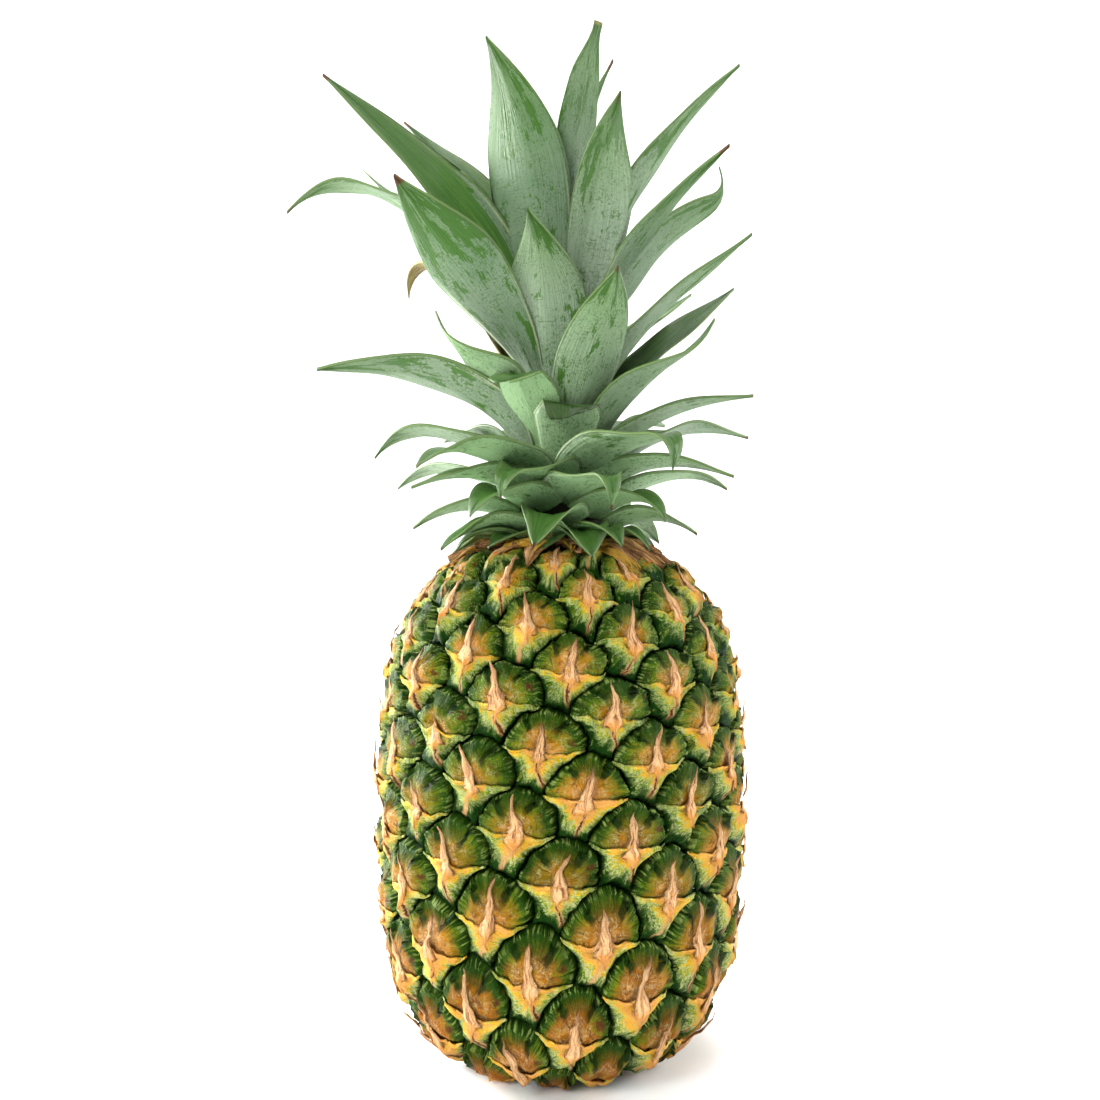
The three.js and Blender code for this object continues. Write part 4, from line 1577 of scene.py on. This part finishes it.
    def point(self, leaf: Leaf, across: float, share: float, wave: Pair) -> Vector:
        """A point of a blade's surface.

        Args:
            leaf: The leaf.
            across: -1 at its left edge and 1 at its right.
            share: Share of its length from the root.
            wave: The ripple of its edges, as height and phase.

        Returns:
            The point in millimetres.
        """
        look = leaf.look
        centre, angle = leaf.centre(share)
        bearing = leaf.bearing + (leaf.drift + look.lean) * share * share
        sideways = on_bearing(1.0, bearing + 90, 0.0)
        inward = on_bearing(-math.sin(angle), bearing, 0.0)
        inward.z = math.cos(angle)
        freed = smoothstep(share, 0.0, self.free_from)
        bend = lerp(1 / leaf.radius, self.channel / leaf.half_width, freed)
        roll = math.radians((leaf.roll + look.roll) * freed + look.twist * share**3)
        uneven = freed * smoothstep(share, 1.0, self.uneven_to)
        factor = lerp(1.0, look.left if across < 0 else look.right, uneven)
        turn = across * factor * self.width_at(leaf, share) * bend
        phase = wave[1] + self.ripple_lag * across
        ripple = wave[0] * math.sin(share * leaf.length * self.ripple_pace + phase)
        ripple *= abs(across) ** self.ripple_rim * math.sin(math.pi * share)
        keel = self.keel[0] * hump(across, self.keel[1]) * freed
        level = (1 - math.cos(turn)) / bend + ripple - keel
        side = math.sin(turn) / bend
        rolled_side = side * math.cos(roll) - level * math.sin(roll)
        rolled_level = side * math.sin(roll) + level * math.cos(roll)
        return on_bearing(centre.x, bearing, centre.y) + sideways * rolled_side + inward * rolled_level

    def flap_point(self, leaf: Leaf, across: float, reach: float, wave: Pair) -> Vector:
        """A point of the end that is folded over at the crease.

        Args:
            leaf: The leaf.
            across: -1 at its left edge and 1 at its right.
            reach: Share of the way from the crease to the end.
            wave: The ripple of its edges.

        Returns:
            The point in millimetres.
        """
        look = leaf.look
        share = look.crease + look.slant * across
        narrowed = lerp(across, look.pivot, look.narrowing * reach**self.flap_ease)
        crease = self.point(leaf, narrowed, share, wave)
        angle = leaf.centre(share)[1]
        run = lerp(look.flap[0], look.flap[1], (across + 1) / 2) * reach
        turned = angle + math.radians(look.fold)
        ahead = on_bearing(math.cos(turned), leaf.bearing, math.sin(turned))
        outward = on_bearing(math.sin(angle), leaf.bearing, -math.cos(angle))
        sideways = on_bearing(1.0, leaf.bearing + 90, 0.0)
        lump = math.sin(self.swell_paces[0] * across + self.swell_paces[1] * reach)
        swell = self.swell * (1 - math.exp(-run)) + self.swell_lumps * lump
        return crease + ahead * run + outward * (swell + self.flap_gap) + sideways * (look.slide * run)

    def add_blade(self, sheet: Sheet, leaf: Leaf) -> None:
        """Adds one leaf's blade, with its folded end if it has one, to a sheet."""
        look = leaf.look
        draw = random.Random(leaf.number + BLADE_SEED)
        tone, odd = draw.random(), draw.random()
        wave = (draw.uniform(*self.ripple_heights), draw.uniform(*self.ripple_phases))
        length = leaf.length / DECIMETRE
        shared = {"chance": (tone, odd), "face": (1.0, length)}
        gain = self.flap_span
        folded, blunt = max(look.flap) > 0, look.blunt > self.blunt_from

        def place(u: float, v: float) -> Placed:
            """Places one vertex of the blade."""
            way = (v + 1) / 2
            share = (look.crease + look.slant * u if folded else 1.0) * way
            frayed = self.frayed * smoothstep(way, self.frayed_from, 1.0) if blunt else 0.0
            shown_share = share * self.blunt_share if blunt else share
            pairs = {"blade": (u, shown_share), "bloom": (look.bare, max(frayed, look.dry))}
            return self.point(leaf, u, share, wave), pairs | shared

        def flap(u: float, v: float) -> Placed:
            """Places one vertex of the folded end."""
            reach = (v + 1) / 2
            pairs = {"blade": (gain[0] * u, look.crease + gain[1] * reach), "bloom": (look.stale_and_painted_shade, 0.0)}
            return self.flap_point(leaf, u, reach, wave), pairs | shared

        faces = sheet.grid(self.columns, self.rows, place)
        sheet.thicken(faces, self.thickness, "face", (0.0, length))
        if folded:
            sheet.thicken(sheet.grid(self.columns, self.flap_rows, flap), self.thickness)

    def piece(self, name: str, leaves: list[Leaf], *nodes: str) -> bpy.types.Object:
        """Builds one piece from the blades of some leaves.

        Args:
            name: The piece's name.
            leaves: The leaves in it.
            nodes: The CAD nodes that it stands for.

        Returns:
            The piece.
        """
        sheet = Sheet("blade", "face", "chance", "bloom")
        for leaf in leaves:
            self.add_blade(sheet, leaf)
        bmesh.ops.recalc_face_normals(sheet.mesh, faces=sheet.mesh.faces)
        return sheet.finish(name, Slot.LEAF, self.finish, *nodes)

    def blade(self, leaf: Leaf) -> bpy.types.Object:
        """Builds one leaf's blade in place of its CAD node."""
        order = leaf.number - self.first + 1
        return self.piece(f"blade_{order:02d}", [leaf], f"leaf_{order:02d}")

    def basal_leaf(self, number: int) -> Leaf:
        """Works out one of the small leaves at the very foot of the crown."""
        draw = random.Random(number + BASAL_SEED)
        root = Vector(self.basal_root)
        tip = Vector((draw.uniform(*self.basal_reach), draw.uniform(*self.basal_height)))
        handle = self.basal_handle * (tip - root).length
        after_root = root + heading(draw.uniform(*self.basal_start), handle)
        before_tip = tip - heading(draw.uniform(*self.basal_tip), handle)
        return Leaf(
            number=number,
            bearing=GOLDEN_TURN * number + self.basal_bearing,
            line=(root, after_root, before_tip, tip),
            radius=root.x,
            half_width=draw.uniform(*self.basal_width),
            wrap=0.9,
            roll=0.0,
            taper=1.7,
            drift=draw.uniform(-self.basal_drift, self.basal_drift),
            base_gain=1.3,
            look=LeafLook(bare=0.3),
        )

    def build(self) -> list[bpy.types.Object]:
        """Builds all the leaves.

        Returns:
            One piece for each leaf, and one for the small leaves at the foot.
        """
        blades = [self.blade(self.leaf(number)) for number in range(self.first, self.last + 1)]
        basal = [self.basal_leaf(number) for number in range(self.first - self.basal, self.first)]
        return [*blades, self.piece("basal_leaves", basal)]


OWN_LEAVES: dict[int, dict[str, float]] = {
    29: dict(reach=21, height=339, width=9),
    28: dict(reach=58, height=321, tip=42, width=9.5),
    27: dict(reach=20, height=339, width=8),
    26: dict(reach=31, height=333, turn=-7, drift=-22, width=13, taper=3, wrap=0.66),
    24: dict(reach=61, height=323, start=88, tip=36, turn=6, width=10.2),
    23: dict(reach=79, height=320, tip=36, width=10),
    22: dict(reach=30, height=300),
    21: dict(reach=42, height=307, turn=15, width=13, taper=2.8, wrap=0.5),
    20: dict(reach=97, height=320, tip=42, width=9),
    19: dict(reach=55, height=291, tip=30),
    18: dict(reach=67, height=279, width=14.5, roll=30, turn=-6, taper=2.6, wrap=0.28),
    17: dict(reach=46, height=292),
    16: dict(reach=66, height=289, tip=30, handle=0.44, turn=3, width=8.5),
    15: dict(reach=95, height=286, tip=-45, width=10),
    14: dict(reach=62, height=266),
    13: dict(reach=38, height=272, turn=-1, width=13, taper=1.9, wrap=0.56),
    12: dict(reach=54, height=268),
    11: dict(reach=64, height=271, tip=38, width=9),
    10: dict(reach=47, height=243, start=66, tip=50, width=13, roll=18),
    8: dict(reach=44, height=253, tip=62, width=12.5, taper=2.8),
    7: dict(reach=57, height=266),
    6: dict(reach=65, height=263, tip=40),
    5: dict(reach=38, height=236, tip=60, width=11.5, wrap=0.44),
    3: dict(reach=60, height=236, tip=28, width=12, wrap=0.36),
    2: dict(reach=81, height=228, tip=-8, width=12, roll=15),
    0: dict(reach=42, height=240, tip=60, turn=4, width=11.5, wrap=0.46),
    -2: dict(reach=65, height=221, start=58, tip=6, width=9.5),
    -3: dict(reach=58, height=193, start=20, tip=-42),
    -5: dict(reach=66, height=203, start=40, tip=8),
    -6: dict(reach=67, height=202, start=52, tip=-50),
    -7: dict(reach=74, height=211, tip=-12, turn=-8),
    -8: dict(reach=51, height=192, start=32, tip=4, drift=-8, taper=1.6),
    -10: dict(reach=59.5, height=191.7),
    -11: dict(reach=51.5, height=188.6),
    -13: dict(reach=64, height=189, start=24, tip=4, taper=1.6),
    -14: dict(reach=72, height=193.5),
    -15: dict(reach=59, height=190.7),
    -16: dict(reach=46, height=178, tip=-60),
    -18: dict(reach=44, height=177, tip=-70),
    -19: dict(reach=50, height=176.5),
    -21: dict(reach=44, height=168.5, start=26, tip=-70, drift=-6),
    -23: dict(reach=46, height=174),
    -26: dict(reach=40, height=165.5, tip=-60, turn=-14),
}


LEAF_LOOKS: dict[int, LeafLook] = {
    29: LeafLook(left=1.5, right=1.7, lean=5, taper=4.5, blunt=1.7),
    28: LeafLook(left=1.4, right=1.4, roll=-38, bare=0.4),
    27: LeafLook(left=1.5, right=1.5, roll=-32, blunt=0.9),
    26: LeafLook(left=2.3, right=1.1, roll=20),
    23: LeafLook(left=1.25, right=1.25, roll=-62),
    21: LeafLook(left=0.6, right=2.3),
    19: LeafLook(roll=-28, curl=85, curl_from=0.86, stretch=1.1, bow=-8),
    18: LeafLook(left=1.15, bare=0.15),
    16: LeafLook(left=0.65, right=0.6, lean=4),
    13: LeafLook(left=1.6, right=1.2, lean=-5),
    10: LeafLook(twist=-60, curl=20),
    7: LeafLook(dry=0.8, curl=-110, curl_from=0.8, stretch=1.2),
    6: LeafLook(left=0.85, right=0.85, roll=22, bare=0.8),
    5: LeafLook(
        crease=0.675, slant=-0.01, fold=-100, flap=(1.7, 0.8), slide=-1.2, pivot=-1, narrowing=0.5, bare=-0.6
    ),
    3: LeafLook(curl=30, twist=50),
    2: LeafLook(bare=0.15),
    0: LeafLook(crease=0.415, slant=-0.02, flap=(4.8, 0.2), pivot=-0.2, narrowing=0.35, taper=0.6, stale_and_painted_shade=1.0),
    -5: LeafLook(curl=-115, curl_from=0.74),
    -8: LeafLook(curl=-115, curl_from=0.7),
    -13: LeafLook(curl=-115, curl_from=0.74),
}


@dataclass
class CrownFoot:
    """The crown's stem and the crinkled dead bracts that lie out over the fruit's shoulder."""

    shell: Shell = field(default_factory=Shell)
    stem: Stem = field(default_factory=Stem)
    radius: float = 20.0
    foot_height: float = 2.0
    segments: int = 40
    bracts: int = 72
    columns: int = 6
    rows: int = 10
    start: float = 14.5
    length: Pair = (12.0, 24.0)
    half_width: Pair = (3.0, 6.5)
    stray: float = 6.0
    rise: Pair = (0.8, 3.4)
    lean: float = 0.25
    curl: Pair = (-0.5, 2.4)
    front_gain: float = 0.18
    crown: float = 0.6
    seed: float = 30.0
    crinkle: float = 1.5
    crinkle_paces: Pairs = ((1.8, 4.0), (4.0, 9.0))
    taper: float = 1.8
    ragged: float = 0.3
    gap: float = 0.6
    thickness: float = 0.45
    tip_half_width: float = 0.15

    def bract(self, sheet: Sheet, number: int) -> None:
        """Adds one dried bract."""
        draw = random.Random(number + COLLAR_SEED)
        bearing = GOLDEN_TURN * number + draw.uniform(-self.stray, self.stray)
        length, half_width = draw.uniform(*self.length), draw.uniform(*self.half_width)
        length *= 1 + self.front_gain * max(0.0, math.cos(math.radians(bearing)))
        rise, lean = draw.uniform(*self.rise), draw.uniform(-self.lean, self.lean)
        curl = draw.uniform(*self.curl)
        tone, odd = draw.random(), draw.random()
        sideways = on_bearing(1.0, bearing + 90, 0.0)

        def place(u: float, v: float) -> Placed:
            """Places one vertex of the bract."""
            share = (v + 1) / 2
            out = self.start + length * share
            spots = (Vector((u * pace[0], share * pace[1], odd * self.seed)) for pace in self.crinkle_paces)
            crinkle, fine = (noise.noise(spot) for spot in spots)
            lift = rise * (1 - 0.5 * share) + curl * share**3 + self.crinkle * crinkle + 0.5 * fine
            lift += self.crown * (1 - u * u)
            width = half_width * (1 - share**self.taper) * (1 + self.ragged * fine) + self.tip_half_width
            point = on_bearing(out + crinkle, bearing, self.shell.cover(out) + self.gap + max(0.0, lift))
            point += sideways * (u * width + lean * length * share)
            return point, {"blade": (u, share), "chance": (tone, odd)}

        faces = sheet.grid(self.columns, self.rows, place)
        sheet.thicken(faces, self.thickness)

    def cone(self, sheet: Sheet, radii: Pair, height: float) -> None:
        """Adds a cone that stands on the stem's foot."""
        made = bmesh.ops.create_cone(
            sheet.mesh,
            cap_ends=True,
            segments=self.segments,
            radius1=radii[0],
            radius2=radii[1],
            depth=height,
        )
        bmesh.ops.translate(sheet.mesh, vec=(0.0, 0.0, self.stem.foot + height / 2), verts=made["verts"])

    def build(self) -> bpy.types.Object:
        """Builds the stem with its foot and its dried bracts as one piece."""
        sheet = Sheet("blade", "chance")
        self.cone(sheet, self.stem.radii, self.stem.tip - self.stem.foot)
        self.cone(sheet, (self.radius, self.stem.radii[0]), self.foot_height)
        for number in range(self.bracts):
            self.bract(sheet, number)
        return sheet.finish("crown_foot", Slot.CROWN_STEM, DryBractFinish().material(), "crown_stem")


# ---- studio


@dataclass(frozen=True)
class Lamp:
    """A soft square light.

    Attributes:
        name: Its name.
        place: Where it stands, in metres.
        aim: The point that it faces.
        size: The side of its square.
        watts: Its strength.
    """

    name: str
    place: Place
    aim: Place
    size: float
    watts: float

    def build(self) -> None:
        """Adds the light to the scene."""
        data = bpy.data.lights.new(self.name, "AREA")
        data.size = self.size
        data.energy = self.watts
        light = bpy.data.objects.new(self.name, data)
        light.location = self.place
        light.rotation_euler = (Vector(self.aim) - Vector(self.place)).to_track_quat("-Z", "Y").to_euler()
        bpy.context.scene.collection.objects.link(light)


MIDDLE = (0.0, 0.0, 0.16)
LAMPS = (
    Lamp("key", (-0.6, -0.95, 0.7), MIDDLE, 0.5, 12.0),
    Lamp("left", (-0.85, 0.45, 0.35), MIDDLE, 0.5, 34.0),
    Lamp("right", (0.95, 0.2, 0.4), MIDDLE, 0.5, 11.0),
    Lamp("top", (0.0, -0.1, 1.2), MIDDLE, 0.8, 4.5),
    Lamp("backdrop", (0.0, 0.8, 2.3), (0.0, 1.8, 0.8), 1.2, 45.0),
)


@dataclass
class Studio:
    """A pale sweep, soft lights and a level camera in front of the pineapple."""

    camera_place: Place = (0.0, -0.3703, 0.1550)
    frame_pixels: float = 1100.0
    focal_pixels: float = 1091.9
    middle_pixels: Pair = (560.8, 589.9)
    sensor: float = 36.0
    nearest: float = 0.01
    floor_front: float = -1.2
    floor_run: float = 2.4
    bend_run: float = 0.9
    sweep_run: float = 4.4
    half_width: float = 3.0
    faces: tuple[int, int] = (8, 48)
    world_strength: float = 0.46

    def camera(self) -> None:
        """Sets the camera level, looking along +Y, with a small shift for the framing."""
        data = bpy.data.cameras.new("camera")
        data.sensor_width = self.sensor
        data.lens = self.sensor * self.focal_pixels / self.frame_pixels
        half = self.frame_pixels / 2
        data.shift_x = (half - self.middle_pixels[0]) / self.frame_pixels
        data.shift_y = (self.middle_pixels[1] - half) / self.frame_pixels
        data.clip_start = self.nearest
        camera = bpy.data.objects.new("camera", data)
        camera.location = self.camera_place
        camera.rotation_euler = (math.radians(90), 0.0, 0.0)
        bpy.context.scene.collection.objects.link(camera)
        bpy.context.scene.camera = camera

    def floor(self) -> None:
        """Adds the pale floor, which sweeps up behind the pineapple."""
        mesh = bmesh.new()
        columns, rows = self.faces
        made = bmesh.ops.create_grid(mesh, x_segments=columns, y_segments=rows, size=1.0)
        radius = self.bend_run * 2 / math.pi
        for vertex in made["verts"]:
            run = (vertex.co.y + 1) / 2 * self.sweep_run
            bend = clamp((run - self.floor_run) / self.bend_run, 0.0, 1.0) * math.pi / 2
            beyond = max(0.0, run - self.floor_run - self.bend_run)
            y = min(run, self.floor_run) + self.floor_front + radius * math.sin(bend)
            z = radius * (1 - math.cos(bend)) + beyond
            vertex.co = (vertex.co.x * self.half_width, y, z)
        floor = shown("sweep", mesh, PaperFinish().material())

    def world(self) -> None:
        """Sets the even white light all round."""
        world = bpy.data.worlds.new("studio")
        world.use_nodes = True
        background = world.node_tree.nodes["Background"]
        background.inputs["Color"].default_value = (1.0, 1.0, 1.0, 1.0)
        background.inputs["Strength"].default_value = self.world_strength
        bpy.context.scene.world = world
        bpy.context.scene.view_settings.view_transform = "Standard"

    def build(self) -> None:
        """Sets up the camera, the floor, the lights and the world."""
        self.camera()
        self.floor()
        for lamp in LAMPS:
            lamp.build()
        self.world()


def main() -> None:
    """Builds the pieces in order and reports each one."""
    logging.basicConfig(level=logging.INFO, format="%(name)s: %(message)s")
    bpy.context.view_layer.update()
    Studio().build()
    for piece in [*Rind().build(), CrownFoot().build(), *Crown(OWN_LEAVES, LEAF_LOOKS).build()]:
        LOG.info("%s: %d faces", piece.name, len(piece.data.polygons))
    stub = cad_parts["stalk_stub"]
    stub.data.materials.clear()
    stub.data.materials.append(CutStalkFinish().material())
    LOG.info("%s: kept, with the finish of cut stalk", stub.name)


if __name__ == "__main__":
    main()
